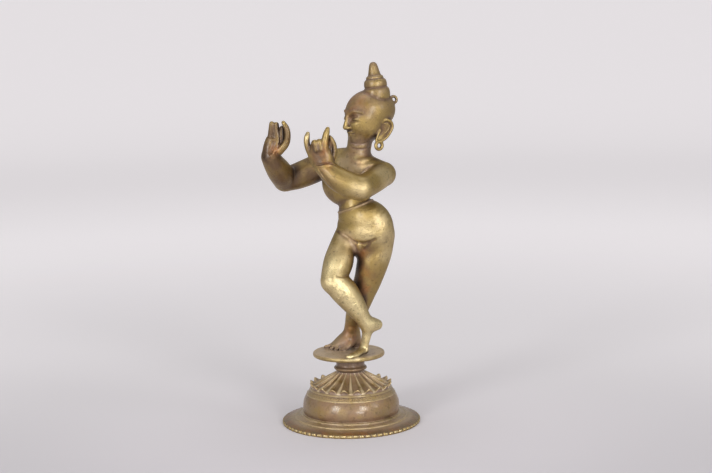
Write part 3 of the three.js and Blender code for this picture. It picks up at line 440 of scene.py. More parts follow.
def spline(rows, m):
    R = np.asarray(rows, float)
    if len(R) < 3:
        return R
    Q = np.vstack([2 * R[0] - R[1], R, 2 * R[-1] - R[-2]])
    out = []
    for i in range(1, len(Q) - 2):
        a, b, c, d = Q[i - 1:i + 3]
        for t in np.arange(m) / m:
            out.append(0.5 * (2 * b + (c - a) * t + (2 * a - 5 * b + 4 * c - d) * t ** 2 + (3 * b - a - 3 * c + d) * t ** 3))
    out.append(R[-1])
    return np.array(out)


def chain(F, rows, k, side=None, m=6, mode="add"):
    """A smooth line of round or widened sections; each row is x, y, z, radius and, where side is given, widening."""
    n = len(rows)
    R = np.array([list(r[:4]) + [r[4] if len(r) > 4 else 1.0] for r in rows], float)
    S = np.zeros((n, 3)) if side is None else np.asarray(side, float) * np.ones((n, 3))
    A = spline(np.hstack([R, S]), m)
    big = float((A[:, 3] * np.maximum(A[:, 4], 1)).max())
    G = F.group(A[:, :3].min(0) - big, A[:, :3].max(0) + big, k)
    for p, q in zip(A[:-1], A[1:]):
        w = None
        if side is not None:
            u = unit(q[:3] - p[:3])
            w = p[5:8] + q[5:8]
            w = unit(w - (w @ u) * u).astype(np.float32)
        r = max(p[3], q[3]) * max(1.0, p[4], q[4])
        fn = length_fn(p[:3], q[:3], max(p[3], 0.05), max(q[3], 0.05), p[4], q[4], w)
        G.put(np.minimum(p[:3], q[:3]) - r, np.maximum(p[:3], q[:3]) + r, fn, 0.0, "add", F.pad + k)
    if mode == "add":
        F.merge(G, k)
    else:
        a, b = G.i0, G.i0 + G.n
        sl = F.view(a, b)[0]
        F.d[sl] = -smin(-F.d[sl], G.d, k)


def limb(F, name, k, m=8):
    L = LIMBS[name]
    chain(F, list(L["rows"].values()), k, L.get("side"), m)


def ball(F, c, r, k, axes=None, mode="add"):
    c, r = np.asarray(c, np.float32), np.asarray(r, np.float32)
    E = None if axes is None else np.asarray(axes, np.float32)

    def fn(X, Y, Z):
        x, y, z = X - c[0], Y - c[1], Z - c[2]
        if E is not None:
            x, y, z = [e[0] * x + e[1] * y + e[2] * z for e in E]
        k0 = np.sqrt((x / r[0]) ** 2 + (y / r[1]) ** 2 + (z / r[2]) ** 2) + 1e-6
        k1 = np.sqrt((x / r[0] ** 2) ** 2 + (y / r[1] ** 2) ** 2 + (z / r[2] ** 2) ** 2) + 1e-6
        return k0 * (k0 - 1) / k1
    m = float(r.max())
    F.put(c - m, c + m, fn, k, mode)


def ring(F, c, R, r, axis, k, mode="add"):
    c, n = np.asarray(c, np.float32), unit(axis).astype(np.float32)

    def fn(X, Y, Z):
        x, y, z = X - c[0], Y - c[1], Z - c[2]
        a = x * n[0] + y * n[1] + z * n[2]
        q = np.sqrt(np.maximum(x * x + y * y + z * z - a * a, 0)) - R
        return np.sqrt(q * q + a * a) - r
    F.put(c - R - r, c + R + r, fn, k, mode)


def tier(F, c, axis, R, half, k):
    c, n = np.asarray(c, np.float32), unit(axis).astype(np.float32)

    def fn(X, Y, Z):
        x, y, z = X - c[0], Y - c[1], Z - c[2]
        a = x * n[0] + y * n[1] + z * n[2]
        q = np.sqrt(np.maximum(x * x + y * y + z * z - a * a, 0))
        return np.sqrt(np.maximum(q - (R - half), 0) ** 2 + a * a) - half
    F.put(c - R - half, c + R + half, fn, k)


def at_points(F, V):
    g = V / F.h - F.i0
    i = np.clip(np.floor(g).astype(int), 0, F.n - 2)
    f = np.clip(g - i, 0, 1)
    r = 0
    for a in (0, 1):
        for b in (0, 1):
            for c in (0, 1):
                w = (f[:, 0] if a else 1 - f[:, 0]) * (f[:, 1] if b else 1 - f[:, 1]) * (f[:, 2] if c else 1 - f[:, 2])
                r = r + w * F.d[i[:, 0] + a, i[:, 1] + b, i[:, 2] + c]
    return r


def slope(F, V, e):
    g = np.stack([at_points(F, V + np.eye(3)[i] * e) - at_points(F, V - np.eye(3)[i] * e) for i in range(3)], 1)
    return g / (np.linalg.norm(g, axis=1, keepdims=True) + 1e-9)


def blurred(F, step, reach, times=3):
    """A coarser copy of a field, held to a narrow range and smoothed."""
    C = Field(F.h * step, np.ceil(F.i0 / step).astype(int), (F.n - 1) // step, F.pad)
    o = C.i0 * step - F.i0
    C.n = np.array([len(range(o[i], F.n[i], step)) for i in range(3)])
    d = np.clip(F.d[o[0]::step, o[1]::step, o[2]::step], -reach, reach).astype(np.float32)
    for _ in range(times):
        for a in range(3):
            d = (np.roll(d, 1, a) + d + np.roll(d, -1, a)) * np.float32(1 / 3)
    C.d, C.ax = d, None
    C.n = np.array(d.shape)
    return C


def skin(F):
    """Surface nets: a vertex in each cell the surface passes, a quad on each grid edge it crosses."""
    d = F.d
    ins = d < 0
    n = np.array(d.shape)
    s = np.zeros(tuple(n - 1), np.uint8)
    corners = [(i, j, k) for i in (0, 1) for j in (0, 1) for k in (0, 1)]
    for i, j, k in corners:
        s += ins[i:n[0] - 1 + i, j:n[1] - 1 + j, k:n[2] - 1 + k]
    act = np.argwhere((s > 0) & (s < 8))
    idx = np.full(s.shape, -1, np.int32)
    idx[tuple(act.T)] = np.arange(len(act))
    acc, cnt = np.zeros((len(act), 3)), np.zeros(len(act))
    val = {c: d[act[:, 0] + c[0], act[:, 1] + c[1], act[:, 2] + c[2]].astype(float) for c in corners}
    for c in corners:
        for a in range(3):
            if c[a] == 0:
                e = list(c)
                e[a] = 1
                p, q = val[c], val[tuple(e)]
                x = (p < 0) != (q < 0)
                pt = np.tile(np.array(c, float), (int(x.sum()), 1))
                pt[:, a] += p[x] / (p[x] - q[x])
                acc[x] += pt
                cnt[x] += 1
    V = (act + acc / cnt[:, None] + F.i0) * F.h
    quads = []
    for a in range(3):
        u, v = (a + 1) % 3, (a + 2) % 3
        lo = tuple(slice(0, -1) if i == a else slice(None) for i in range(3))
        hi = tuple(slice(1, None) if i == a else slice(None) for i in range(3))
        e = np.argwhere(ins[lo] != ins[hi])
        e = e[(e[:, u] > 0) & (e[:, v] > 0) & (e[:, u] < n[u] - 1) & (e[:, v] < n[v] - 1)]
        out = ins[lo][tuple(e.T)]
        q = []
        for du, dv in ((-1, -1), (0, -1), (0, 0), (-1, 0)):
            c = e.copy()
            c[:, u] += du
            c[:, v] += dv
            q.append(idx[tuple(c.T)])
        q = np.array(q).T
        q[~out] = q[~out][:, ::-1]
        quads.append(q)
    return V, np.vstack(quads)


# ---------------------------------------------------------------- the figure
def lathe(F, foot, axis, rows, k):
    """A turned form: rows are places along the axis and radii."""
    c, n = np.asarray(foot, np.float32), unit(axis).astype(np.float32)
    T, R = np.array([r[0] for r in rows], np.float32), np.array([r[1] for r in rows], np.float32)
    mid, reach = c + n * (T[0] + T[-1]) / 2, float(max(R.max(), (T[-1] - T[0]) / 2)) * 1.1

    def fn(X, Y, Z):
        x, y, z = X - c[0], Y - c[1], Z - c[2]
        a = x * n[0] + y * n[1] + z * n[2]
        q = np.sqrt(np.maximum(x * x + y * y + z * z - a * a, 0))
        best = None
        for i in range(len(T) - 1):
            dt, dr = T[i + 1] - T[i], R[i + 1] - R[i]
            s = np.clip(((a - T[i]) * dt + (q - R[i]) * dr) / (dt * dt + dr * dr), 0, 1)
            e = (a - T[i] - s * dt) ** 2 + (q - R[i] - s * dr) ** 2
            best = e if best is None else np.minimum(best, e)
        inside = (a > T[0]) & (a < T[-1]) & (q < np.interp(a, T, R))
        d = np.sqrt(best)
        return np.where(inside, -d, d).astype(np.float32)
    F.put(mid - reach, mid + reach, fn, k)


def head(F, fine):
    f = unit(HEAD_FORWARD)
    l = unit(np.cross(HEAD_UP, f))
    u = np.cross(f, l)
    axes = (f, l, u)
    O = np.array(HEAD_CENTRE, float)

    def at(x, y, z, *r):
        p = list(O + f * x + l * y + u * z)
        return p + list(r)
    G = F.group(O - 28, O + 28)
    ball(G, at(-1.8, 0, 2.2), (17.4, 14.2, 13.9), 0, axes)
    ball(G, at(4.4, 0, -5.4), (12.6, 11.6, 11.4), 5, axes)
    ball(G, at(1.5, 0, -9.0), (11.5, 10.6, 7.6), 4, axes)
    ball(G, at(11.6, 0, -13.0), (3.8, 4.3, 3.0), 4, axes)
    for s in (1, -1):
        ball(G, at(17.9, 5.7 * s, -0.2), (3.2, 4.7, 2.7), 2.2, axes, "cut")
        ball(G, at(11.9, 5.4 * s, -0.7), (3.1, 3.8, 2.1), 0.6, axes)
    chain(G, [at(15.4, 0, 3.6, 1.2), at(16.9, 0, 0.0, 1.3), at(18.1, 0, -3.0, 1.5), at(18.8, 0, -5.3, 1.9)], 1.6)
    for s in (1, -1):
        ball(G, at(17.3, 1.9 * s, -5.9), (1.9, 1.35, 1.15), 0.8, axes)
        chain(G, [at(15.6, 1.4 * s, 2.9, 0.8), at(14.5, 5.2 * s, 4.5, 0.75), at(11.2, 9.8 * s, 3.3, 0.5)], 1.1)
    chain(G, [at(14.5, -3.6, -9.7, 0.5), at(16.5, -1.3, -9.0, 0.9), at(16.7, 0, -9.2, 0.85), at(16.5, 1.3, -9.0, 0.9), at(14.5, 3.6, -9.7, 0.5)], 0.8)
    chain(G, [at(14.4, -3.0, -10.3, 0.5), at(16.2, 0, -11.0, 1.1), at(14.4, 3.0, -10.3, 0.5)], 0.6)
    if fine:
        for s in (1, -1):
            chain(G, [at(14.3, 2.0 * s, -0.9, 0.3), at(15.3, 4.6 * s, -0.75, 0.4), at(14.6, 7.0 * s, -0.7, 0.4), at(12.2, 9.2 * s, -0.9, 0.3)], 0.3)
            chain(G, [at(14.3, 2.0 * s, -1.0, 0.25), at(14.9, 4.6 * s, -2.2, 0.3), at(14.2, 7.0 * s, -2.2, 0.3), at(12.2, 9.2 * s, -1.0, 0.25)], 0.3)
            chain(G, [at(14.8, 2.2 * s, 1.0, 0.25), at(15.0, 4.8 * s, 1.75, 0.3), at(13.6, 8.0 * s, 1.2, 0.25)], 0.4, mode="cut")
            ball(G, at(18.3, 1.2 * s, -7.1), (0.9, 0.6, 0.5), 0.4, axes, "cut")
        chain(G, [at(14.9, -3.9, -9.9, 0.25), at(17.0, -1.5, -10.05, 0.3), at(17.5, 0, -10.1, 0.3), at(17.0, 1.5, -10.05, 0.3), at(14.9, 3.9, -9.9, 0.25)], 0.3, mode="cut")
    F.merge(G, 2)
    K0, K1 = np.array(KNOT_FOOT, float), np.array(KNOT_TOP, float)
    lathe(F, K0, K1 - K0, KNOT_PROFILE, 0.7)
    ring(F, LOOP_CENTRE, 2.15, 0.95, LOOP_AXIS, 0.8)
    for s in (1, -1):
        E = F.group(at(-3, 12 * s, -12)[:3] - np.array([14.0] * 3), at(-3, 12 * s, -12)[:3] + np.array([14.0] * 3))
        # ear: a leaning shell with a rolled rim and a long lobe
        chain(E, [at(-5.6, 11.4 * s, -6.4, 1.5, 2.4), at(-5.4, 11.0 * s, -9.6, 1.7, 2.6), at(-2.8, 10.4 * s, -13.2, 1.6, 2.3), at(1.2, 10.6 * s, -15.8, 1.4, 1.7)], 0, [list(f + 0.35 * u)])
        chain(E, [at(-2.0, 12.0 * s, -5.2, 0.7), at(-4.4, 12.6 * s, -4.1, 0.9), at(-7.9, 12.9 * s, -5.7, 1.0), at(-9.0, 12.7 * s, -9.2, 1.0), at(-7.0, 12.2 * s, -12.8, 1.0), at(-3.4, 11.8 * s, -15.8, 1.0), at(0.8, 11.4 * s, -17.2, 1.1), at(3.6, 11.2 * s, -16.2, 0.9), at(2.4, 11.4 * s, -13.4, 0.75), at(0.2, 11.8 * s, -10.2, 0.7)], 0.5)
        if fine:
            chain(E, [at(-3.4, 12.5 * s, -6.4, 0.4), at(-6.2, 12.9 * s, -7.4, 0.5), at(-6.4, 12.6 * s, -10.0, 0.5), at(-3.6, 12.0 * s, -12.6, 0.4)], 0.5)
        F.merge(E, 1.2)
        ring(F, at(2.4, 11.6 * s, -19.8), 2.45, 1.15, l, 0.6)


def girdle(F, c, n, r, lift, k, m=60):
    """A cord laid round the body where a plane cuts it."""
    c, n = np.asarray(c, float), unit(n)
    a = unit(np.cross(n, (0, 1, 0)))
    b = np.cross(n, a)
    rows = []
    t = np.linspace(3, 26, 232)
    for w in np.arange(m) / m * 2 * np.pi:
        e = a * math.cos(w) + b * math.sin(w)
        d = at_points(F, c + t[:, None] * e)
        out = np.flatnonzero(d > 0)
        rows.append(list(c + e * (t[out[0]] + lift)) + [r])
    R = np.array(rows)
    for _ in range(2):
        R[:, :3] = (np.roll(R[:, :3], 1, 0) + 2 * R[:, :3] + np.roll(R[:, :3], -1, 0)) / 4
    chain(F, list(R) + [R[0]], k, m=2)


def soften(F, times):
    """Takes the faint steps between sections out of the limbs."""
    d = np.clip(F.d, -F.pad, F.pad)
    for _ in range(times):
        for a in range(3):
            d = (np.roll(d, 1, a) + d + np.roll(d, -1, a)) * np.float32(1 / 3)
    F.d = d


def figure_field(h, pad, fine):
    F = Field.over((-50, -44, 43), (37, 30, 242), h, pad)
    T = F.group((-46, -24, 100), (37, 30, 200))
    limb(T, "chest", 0)
    limb(T, "belly", 2)
    for c, r in BUTTOCKS:
        ball(T, c, r, 4)
    limb(T, "shoulders", 4)
    F.merge(T, 0)
    limb(F, "left leg", 3)
    G = F.group((-24, -36, 45), (26, 20, 150))
    limb(G, "right thigh", 0)
    limb(G, "right shin", 1.2)
    F.merge(G, 2)
    for name, k in (("right foot", 2), ("right toes", 2), ("right heel", 3.5), ("left heel", 2), ("left foot inner", 2.5), ("left foot outer", 2), ("left great toe", 0.8), ("left second toe", 0.5), ("left third toe", 0.5), ("left fourth toe", 0.5), ("left small toe", 0.5),
                    ("right upper arm", 2.5), ("right forearm", 1), ("left upper arm", 1.0), ("left forearm", 0.8), ("neck", 3)):
        limb(F, name, k)
    if fine:
        soften(F, 3)
    head(F, fine)
    for name, k in (("left palm", 1.5), ("left little finger", 0.9), ("left ring finger", 0.9), ("left middle finger", 0.9), ("left forefinger", 0.8), ("left thumb", 0.5), ("left web", 1.0),
                    ("right palm", 1.5), ("right outer fingers", 0.9), ("right inner fingers", 0.8), ("right forefinger", 0.8), ("right thumb", 0.5)):
        limb(F, name, k)
    if fine:
        girdle(F, WAIST_CORD[0], WAIST_CORD[1], 0.6, 0.1, 0.5)
        for name, mode, k, rows in DETAILS:
            chain(F, rows, k, None, 5, mode)
    (z0, z1), (cx, cy), e = DISC_Z, DISC_CENTRE, 1.2

    def plate(x, y, z):
        a = np.sqrt((x - cx) ** 2 + (y - cy) ** 2) - (DISC_RADIUS - e)
        b = np.abs(z - (z0 + z1) / 2) - ((z1 - z0) / 2 - e)
        return np.sqrt(np.maximum(a, 0) ** 2 + np.maximum(b, 0) ** 2) + np.minimum(np.maximum(a, b), 0) - e
    F.put((cx - DISC_RADIUS, cy - DISC_RADIUS, z0), (cx + DISC_RADIUS, cy + DISC_RADIUS, z1), plate, 0.8)
    return F


# ---------------------------------------------------------------- the pedestal
def smooth(t):
    t = np.clip(t, 0, 1)
    return t * t * (3 - 2 * t)


NECK_RADIUS, NECK_RIDGE_RADIUS, NECK_RIDGE_Z, NECK_TOP_Z = 9.4, 11.0, 36.9, 44.6
PETALS, PETAL_TURN = 20, math.radians(200)
LOTUS_TOP, LOTUS_REACH, LIP = 34.2, 17.3, 2.6
DOME_RADIUS, DOME_FOOT_Z, WALL = 32.4, 6.4, 3.2
RIM_RADIUS, RIM_THICKNESS, NOTCHES, NOTCH_DEPTH = 46.4, 1.9, 70, 0.8


def petal_parts(u, phase):
    """How much a place on the lotus belongs to a petal's scoop, to the rib between two petals and to a petal's lip."""
    p = np.abs((phase + np.pi) % (2 * np.pi) - np.pi) / np.pi
    w = 0.15 + 0.33 * u ** 3
    scoop = smooth((1 - w - p) / 0.30)
    rib = smooth((p - 1 + w) / w)
    lip = np.clip(1 - (p / 0.60) ** 2, 0, 1) ** 0.8
    return scoop, rib, lip


def lotus(u, phase):
    """Lotus surface: u runs from the neck to the petal tips."""
    scoop, rib, lip = petal_parts(u, phase)
    r = NECK_RADIUS - 0.1 + (LOTUS_REACH + 1.0 * lip * smooth((u - 0.6) / 0.4)) * u
    z = LOTUS_TOP - 10.3 * u + 0.9 * u * u - 1.5 * scoop * np.sin(np.pi * u ** 0.9) ** 0.8 + 0.35 * rib * np.sin(np.pi * (0.1 + 0.85 * u)) + LIP * lip * smooth((u - 0.80) / 0.20)
    return r, z


def rounded(points, steps=2):
    """Denser rows through a profile's points, on a smooth line."""
    return spline(points, steps)


def pedestal_rows(A):
    one = np.ones_like(A)
    rows = []

    def plain(pts, steps=1, tag=0):
        for r, z in rounded(pts, steps):
            rows.append((r * one, z * one, tag))
    T, RZ, RR = NECK_TOP_Z, NECK_RIDGE_Z, NECK_RIDGE_RADIUS
    plain([[NECK_RADIUS - 0.5, T], [NECK_RADIUS, T - 0.6]])
    plain([[NECK_RADIUS + 0.02, T - 1.4], [NECK_RADIUS + 0.1, RZ + 2.4], [NECK_RADIUS + 0.35, RZ + 1.5], [RR - 0.6, RZ + 0.9], [RR, RZ + 0.2], [RR - 0.05, RZ - 0.5], [RR - 0.8, RZ - 1.2], [NECK_RADIUS + 0.1, RZ - 1.7], [NECK_RADIUS - 0.25, 34.9]], 3)
    ph = A * PETALS + PETAL_TURN
    for u in np.concatenate([np.linspace(0, 0.76, 20), np.linspace(0.79, 1, 14)]):
        r, z = lotus(u, ph)
        rows.append((r * one, z * one, 1))
    r, z = lotus(1.0, ph)
    lip = petal_parts(1.0, ph)[2]
    rows.append((r + 0.06, z - 0.22 - 0.1 * lip, 1))
    rows.append((r + 0.08 - 0.1 * lip, z - 0.45 - 0.45 * lip, 1))
    rows.append((r + 0.10 - 0.8 * lip, z - 0.6 - 0.8 * lip, 9))
    rows.append((r + 0.12 - 1.3 * lip, z - 0.7 - 1.3 * lip, 9))
    rows.append((26.85 - 0.2 * lip, 24.15 + 0.3 * lip, 9))
    plain([[26.95, 23.85], [27.05, 23.62], [27.35, 23.5], [27.62, 23.3], [27.66, 23.02], [27.6, 22.8]], 2, 2)
    plain([[27.85, 22.45], [28.6, 21.4], [29.15, 20.5]], 3, 8)
    plain([[29.22, 20.35], [29.45, 20.27], [29.72, 20.1], [29.82, 19.8], [29.78, 19.55]], 2, 2)
    plain([[29.95, 19.25], [30.55, 18.2], [31.3, 16.6], [32.0, 14.4], [32.35, 12], [DOME_RADIUS, 9.8], [32.2, 8.0], [31.9, 6.9]], 3, 3)
    plain([[32.0, DOME_FOOT_Z + 0.1], [32.5, DOME_FOOT_Z], [33.1, DOME_FOOT_Z - 0.1], [33.45, DOME_FOOT_Z - 0.45], [33.5, DOME_FOOT_Z - 0.85]], 3, 4)
    plain([[34.1, 5.2], [35.3, 4.85], [36.4, 4.55]], 3, 5)
    plain([[36.7, 4.5], [36.95, 4.62], [37.35, 4.5], [37.65, 4.1], [37.75, 3.85]], 2, 4)
    plain([[38.4, 3.75], [41, 3.25], [44.4, RIM_THICKNESS + 0.4]], 4, 5)
    nick = smooth((np.cos(A * NOTCHES) + 0.8) / 0.5)
    R, t = RIM_RADIUS, RIM_THICKNESS
    rows.append(((R - 1.1) * one, (t + 0.15) * one, 5))
    rows.append((R - 0.45 - 0.4 * NOTCH_DEPTH * (1 - nick), t + 0.05 - 0.3 * (1 - nick), 6))
    rows.append((R - 0.2 - NOTCH_DEPTH * (1 - nick), t - 0.1 - 0.5 * (1 - nick), 6))
    rows.append((R - 0.05 - NOTCH_DEPTH * (1 - nick), t - 0.45 - 0.25 * (1 - nick), 6))
    rows.append((R - NOTCH_DEPTH * (1 - nick), (t - 0.8) * one, 6))
    rows.append((R - 0.05 - 0.75 * NOTCH_DEPTH * (1 - nick), 0.8 * one, 6))
    rows.append((R - 0.1 - 0.5 * NOTCH_DEPTH * (1 - nick), 0.45 * one, 6))
    rows.append((R - 0.3 - 0.2 * NOTCH_DEPTH * (1 - nick), 0.12 * one, 6))
    rows.append(((R - 0.6) * one, 0.0 * one, 6))
    D = DOME_RADIUS - WALL
    plain([[R - 1.4, 0], [D + 1.4, 0], [D + 0.6, 0], [D + 0.15, 0.15], [D, 0.6]], 1, 7)
    plain([[D, 1.4], [D, 12], [28.2, 15.5], [26.2, 18.6], [22, 21.6], [12, 25.4], [5, 26.4], [2.2, 26.5]], 1, 7)
    return rows


def turned(rows, around):
    m = len(rows)
    A = np.arange(around) / around * 2 * np.pi
    R, Z = np.array([r[0] for r in rows]), np.array([r[1] for r in rows])
    V = np.stack([R * np.cos(A), R * np.sin(A), Z], -1).reshape(-1, 3)
    i, j = np.meshgrid(np.arange(around), np.arange(m - 1))
    n = (i + 1) % around
    q = np.stack([j * around + i, (j + 1) * around + i, (j + 1) * around + n, j * around + n], -1).reshape(-1, 4)
    top, low = len(V), len(V) + 1
    V = np.vstack([V, [0, 0, Z[0].mean()], [0, 0, Z[-1].mean()]])
    k = np.arange(around)
    t = np.vstack([np.stack([np.full(around, top), k, (k + 1) % around], 1),
                   np.stack([np.full(around, low), (m - 1) * around + (k + 1) % around, (m - 1) * around + k], 1)])
    return V, q, t



# ---------------------------------------------------------------- where the metal is worn, dark, filmed or pitted, and where highlights and shade are painted on (mm, with reach)
# worn metal, bright on the belly, thighs, knee, shin, feet and forearm; in good part these are painted highlights
WORN_AND_HIGHLIGHT_SPOTS = ((33, -0, 166, 8), (7, -5, 174, 8), (1, -6, 175, 7), (13, -3, 173, 7), (27, 2, 136, 7), (29, 6, 125, 11), (27, 8, 115, 7), (-0, -18, 117, 11), (-1, -23, 107, 10), (1, -27, 100, 9), (7, -24, 95, 10), (12, -21, 89, 9), (15, -15, 80, 8), (17, -10, 73, 7), (16, -5, 61, 6), (16, -5, 54, 5), (16, -16, 51, 5), (14, -22, 49, 5), (22, 1, 69, 5), (29, -27, 160, 6), (30, -4, 170, 6), (5, -10, 123, 8), (14, -17, 84, 9), (16, -13, 77, 8), (21, -5, 68, 7), (22, 1, 68, 7), (1, -21, 111, 10), (5, -15, 117, 9), (4, -26, 98, 8), (18, -6, 130, 9), (-2, -38, 194, 3),)
# painted shade on the far arm and hand: these lower the openness, so patina and deep brown darken them
SHADE_SPOTS = ((-32, -27, 164, 14), (-30, -37, 175, 12), (-30, -16, 165, 13), (-23, -11, 167, 11), (-33, -41, 185, 10), (-31, -37, 194, 9), (-23, -35, 194, 8), (5, -37, 181, 6), (11, -2, 108, 4), (8, -1, 113, 3.5),)
# darker metal: partly its own tone, as on the neck, chest and lower standing leg, partly painted shade on the far arm
# and hand, between the fingers, under the near forearm, in the groin and on the inner thighs
DARK_AND_SHADE_SPOTS = ((8, -1, 113, 4), (20, -1, 118, 10), (21, -0, 110, 10), (23, 1, 114, 8), (18, -1, 100, 8), (-30, -37, 199, 5), (-29, -36, 194, 6), (-22, -35, 198, 5), (-21, -35, 193, 6), (-27, -34, 191, 6), (4, -39, 188, 5), (6, -38, 188, 5), (9, -28, 188, 5), (10, -28, 184, 5), (-2, -39, 186, 4), (9, -35, 186, 4), (-33, -16, 159, 10), (-36, -19, 158, 9), (9, -36, 167, 8), (13, -35, 163, 8), (-22, -9, 164, 9), (13, -2, 91, 8), (18, -2, 106, 8), (-32, -27, 164, 14), (-30, -37, 175, 11), (-30, -16, 165, 13), (-22, -11, 168, 11), (-33, -41, 185, 9), (-31, -37, 194, 9), (-23, -35, 194, 8), (2, 0, 68, 9), (-2, 3, 59, 9), (-4, -0, 54, 9), (1, 6, 54, 8), (13, -2, 108, 7), (11, -2, 96, 7), (-8, -8, 153, 10), (-4, -5, 148, 9), (11, -2, 186, 9), (7, -3, 188, 7), (14, 2, 184, 8), (5, -37, 181, 7), (26, 8, 196, 6),)
FILM_SPOTS = ((-15, -13, 48, 12), (-8, -6, 49, 12), (17, 9, 48, 12), (11, -2, 186, 8), (3, -5, 177, 8), (8, -5, 172, 8), (-1, 9, 50, 8), (-6, -3, 52, 9), (-2, -2, 49, 7), (-9, -4, 50, 6), (-15, -2, 51, 6),)
# pale spots along the knee, shin, heel and crossing foot: painted highlights
POLISH_AND_LIGHT_SPOTS = ((4, -26, 97, 5), (7, -24, 96, 6), (10, -23, 92, 6), (13, -20, 87, 6), (15, -17, 83, 6), (16, -13, 77, 5), (18, -9, 72, 5), (21, -4, 69, 6), (22, 1, 69, 6), (18, -6, 65, 4), (16, -5, 59, 4), (15, -5, 54, 4), (17, -16, 51, 4), (15, -21, 49, 4), (2, -23, 108, 5),)
FOLD_SPOTS = ((15, -3, 169, 2.5), (17, -2, 171, 2.5), (19, -0, 173, 2.5), (2, -8, 127, 3), (5, -8, 126, 3.5), (7, -7, 124, 3.5), (8, -6, 121, 3.5), (9, -4, 119, 3.5),)
PIT_SPOTS = ((28, 6, 124, 9), (25, 5, 112, 8), (1, -26, 103, 13), (5, -25, 95, 12), (11, -21, 87, 12), (16, -13, 78, 10), (1, -16, 118, 7), (21, -4, 135, 6), (17, -5, 61, 7), (22, -1, 67, 6), (-28, -14, 166, 12), (25, -30, 160, 10), (16, -11, 51, 7),)
ORANGE_SPOTS = ((7, -5, 213, 8), (11, -3, 217, 8), (14, -2, 101, 5), (16, -0, 92, 5), (-2, 2, 60, 6), (-1, 3, 56, 5), (13, -3, 116, 4), (10, -3, 178, 7), (9, -36, 176, 4), (6, -37, 184, 5), (9, -35, 192, 5), (-29, -38, 185, 4),)


# ---------------------------------------------------------------- Blender meshes
def mesh_object(name, V, faces, unit_scale=0.001):
    me = bpy.data.meshes.new(name)
    nv = len(V)
    me.vertices.add(nv)
    me.vertices.foreach_set("co", (np.asarray(V, float) * unit_scale).ravel())
    loops = np.concatenate([f.ravel() for f in faces]).astype(np.int32)
    sizes = np.concatenate([np.full(len(f), f.shape[1]) for f in faces]).astype(np.int32)
    me.loops.add(len(loops))
    me.loops.foreach_set("vertex_index", loops)
    me.polygons.add(len(sizes))
    me.polygons.foreach_set("loop_start", np.concatenate([[0], np.cumsum(sizes)[:-1]]).astype(np.int32))
    me.update(calc_edges=True)
    me.validate()
    me.polygons.foreach_set("use_smooth", np.ones(len(me.polygons), bool))
    ob = bpy.data.objects.new(name, me)
    bpy.context.scene.collection.objects.link(ob)
    return ob


def apply_modifiers(ob):
    dg = bpy.context.evaluated_depsgraph_get()
    me = bpy.data.meshes.new_from_object(ob.evaluated_get(dg))
    old = ob.data
    ob.modifiers.clear()
    ob.data = me
    me.name = ob.name
    bpy.data.meshes.remove(old)


def thin_out(ob, triangles):
    now = sum(len(p.vertices) - 2 for p in ob.data.polygons)
    if now > triangles:
        m = ob.modifiers.new("thin", "DECIMATE")
        m.ratio = triangles / now
        bpy.context.view_layer.update()
        apply_modifiers(ob)


def verts_mm(me):
    co = np.zeros(len(me.vertices) * 3)
    me.vertices.foreach_get("co", co)
    return co.reshape(-1, 3) * 1000


def add_attribute(me, name, values):
    at = me.attributes.new(name, "FLOAT", "POINT")
    at.data.foreach_set("value", np.clip(np.asarray(values, np.float32), 0, 1))


def near(V, points, radius):
    """1 at any of the points, fading to 0 over about the radius."""
    w = np.zeros(len(V))
    for p in points:
        r = p[3] if len(p) > 3 else radius
        w = np.maximum(w, np.exp(-((V - np.array(p[:3])) ** 2).sum(1) / (r * r)))
    return w


def make_figure():
    F = figure_field(FINE_STEP, 2.4, True)
    V, quads = skin(F)
    ob = mesh_object("figure_cast", V, [quads])
    thin_out(ob, 192000)
    me = ob.data
    V = verts_mm(me)
    wide = figure_field(1.1, 13.0, False)
    N = slope(F, V, FINE_STEP)
    me.normals_split_custom_set_from_vertices((-N if (N * vertex_normals(me)).sum() < 0 else N).tolist())
    hidden = open_sky(wide, V, N)
    bend = at_points(blurred(F, 2, 2.0, 3), V)
    bend2 = at_points(blurred(F, 3, 4.0, 6), V)
    # openness from the field, lowered by painted shade on the far arm and hand and raised along the folds
    add_attribute(me, "openness_and_shade", hidden - 0.24 * near(V, SHADE_SPOTS, 10) + 0.3 * near(V, FOLD_SPOTS, 4))
    add_attribute(me, "edge", 0.5 + np.clip(bend * 1.5, -0.35, 0.16))
    add_attribute(me, "form", 0.5 + bend2 * 0.7)
    zones_figure(me, V, N)
    return ob


def vertex_normals(me):
    n = np.zeros(len(me.vertices) * 3)
    me.vertices.foreach_get("normal", n)
    return n.reshape(-1, 3)


def open_sky(F, V, N):
    """How open the space in front of a surface point is: 1 on a plain bulge, towards 0 in a hollow."""
    o = np.zeros(len(V))
    tot = 0
    for t, w in ((1.5, 1.0), (3.0, 1.0), (5.5, 0.9), (9.0, 0.7)):
        o += w * np.clip(at_points(F, V + N * t) / t, 0, 1)
        tot += w
    return o / tot


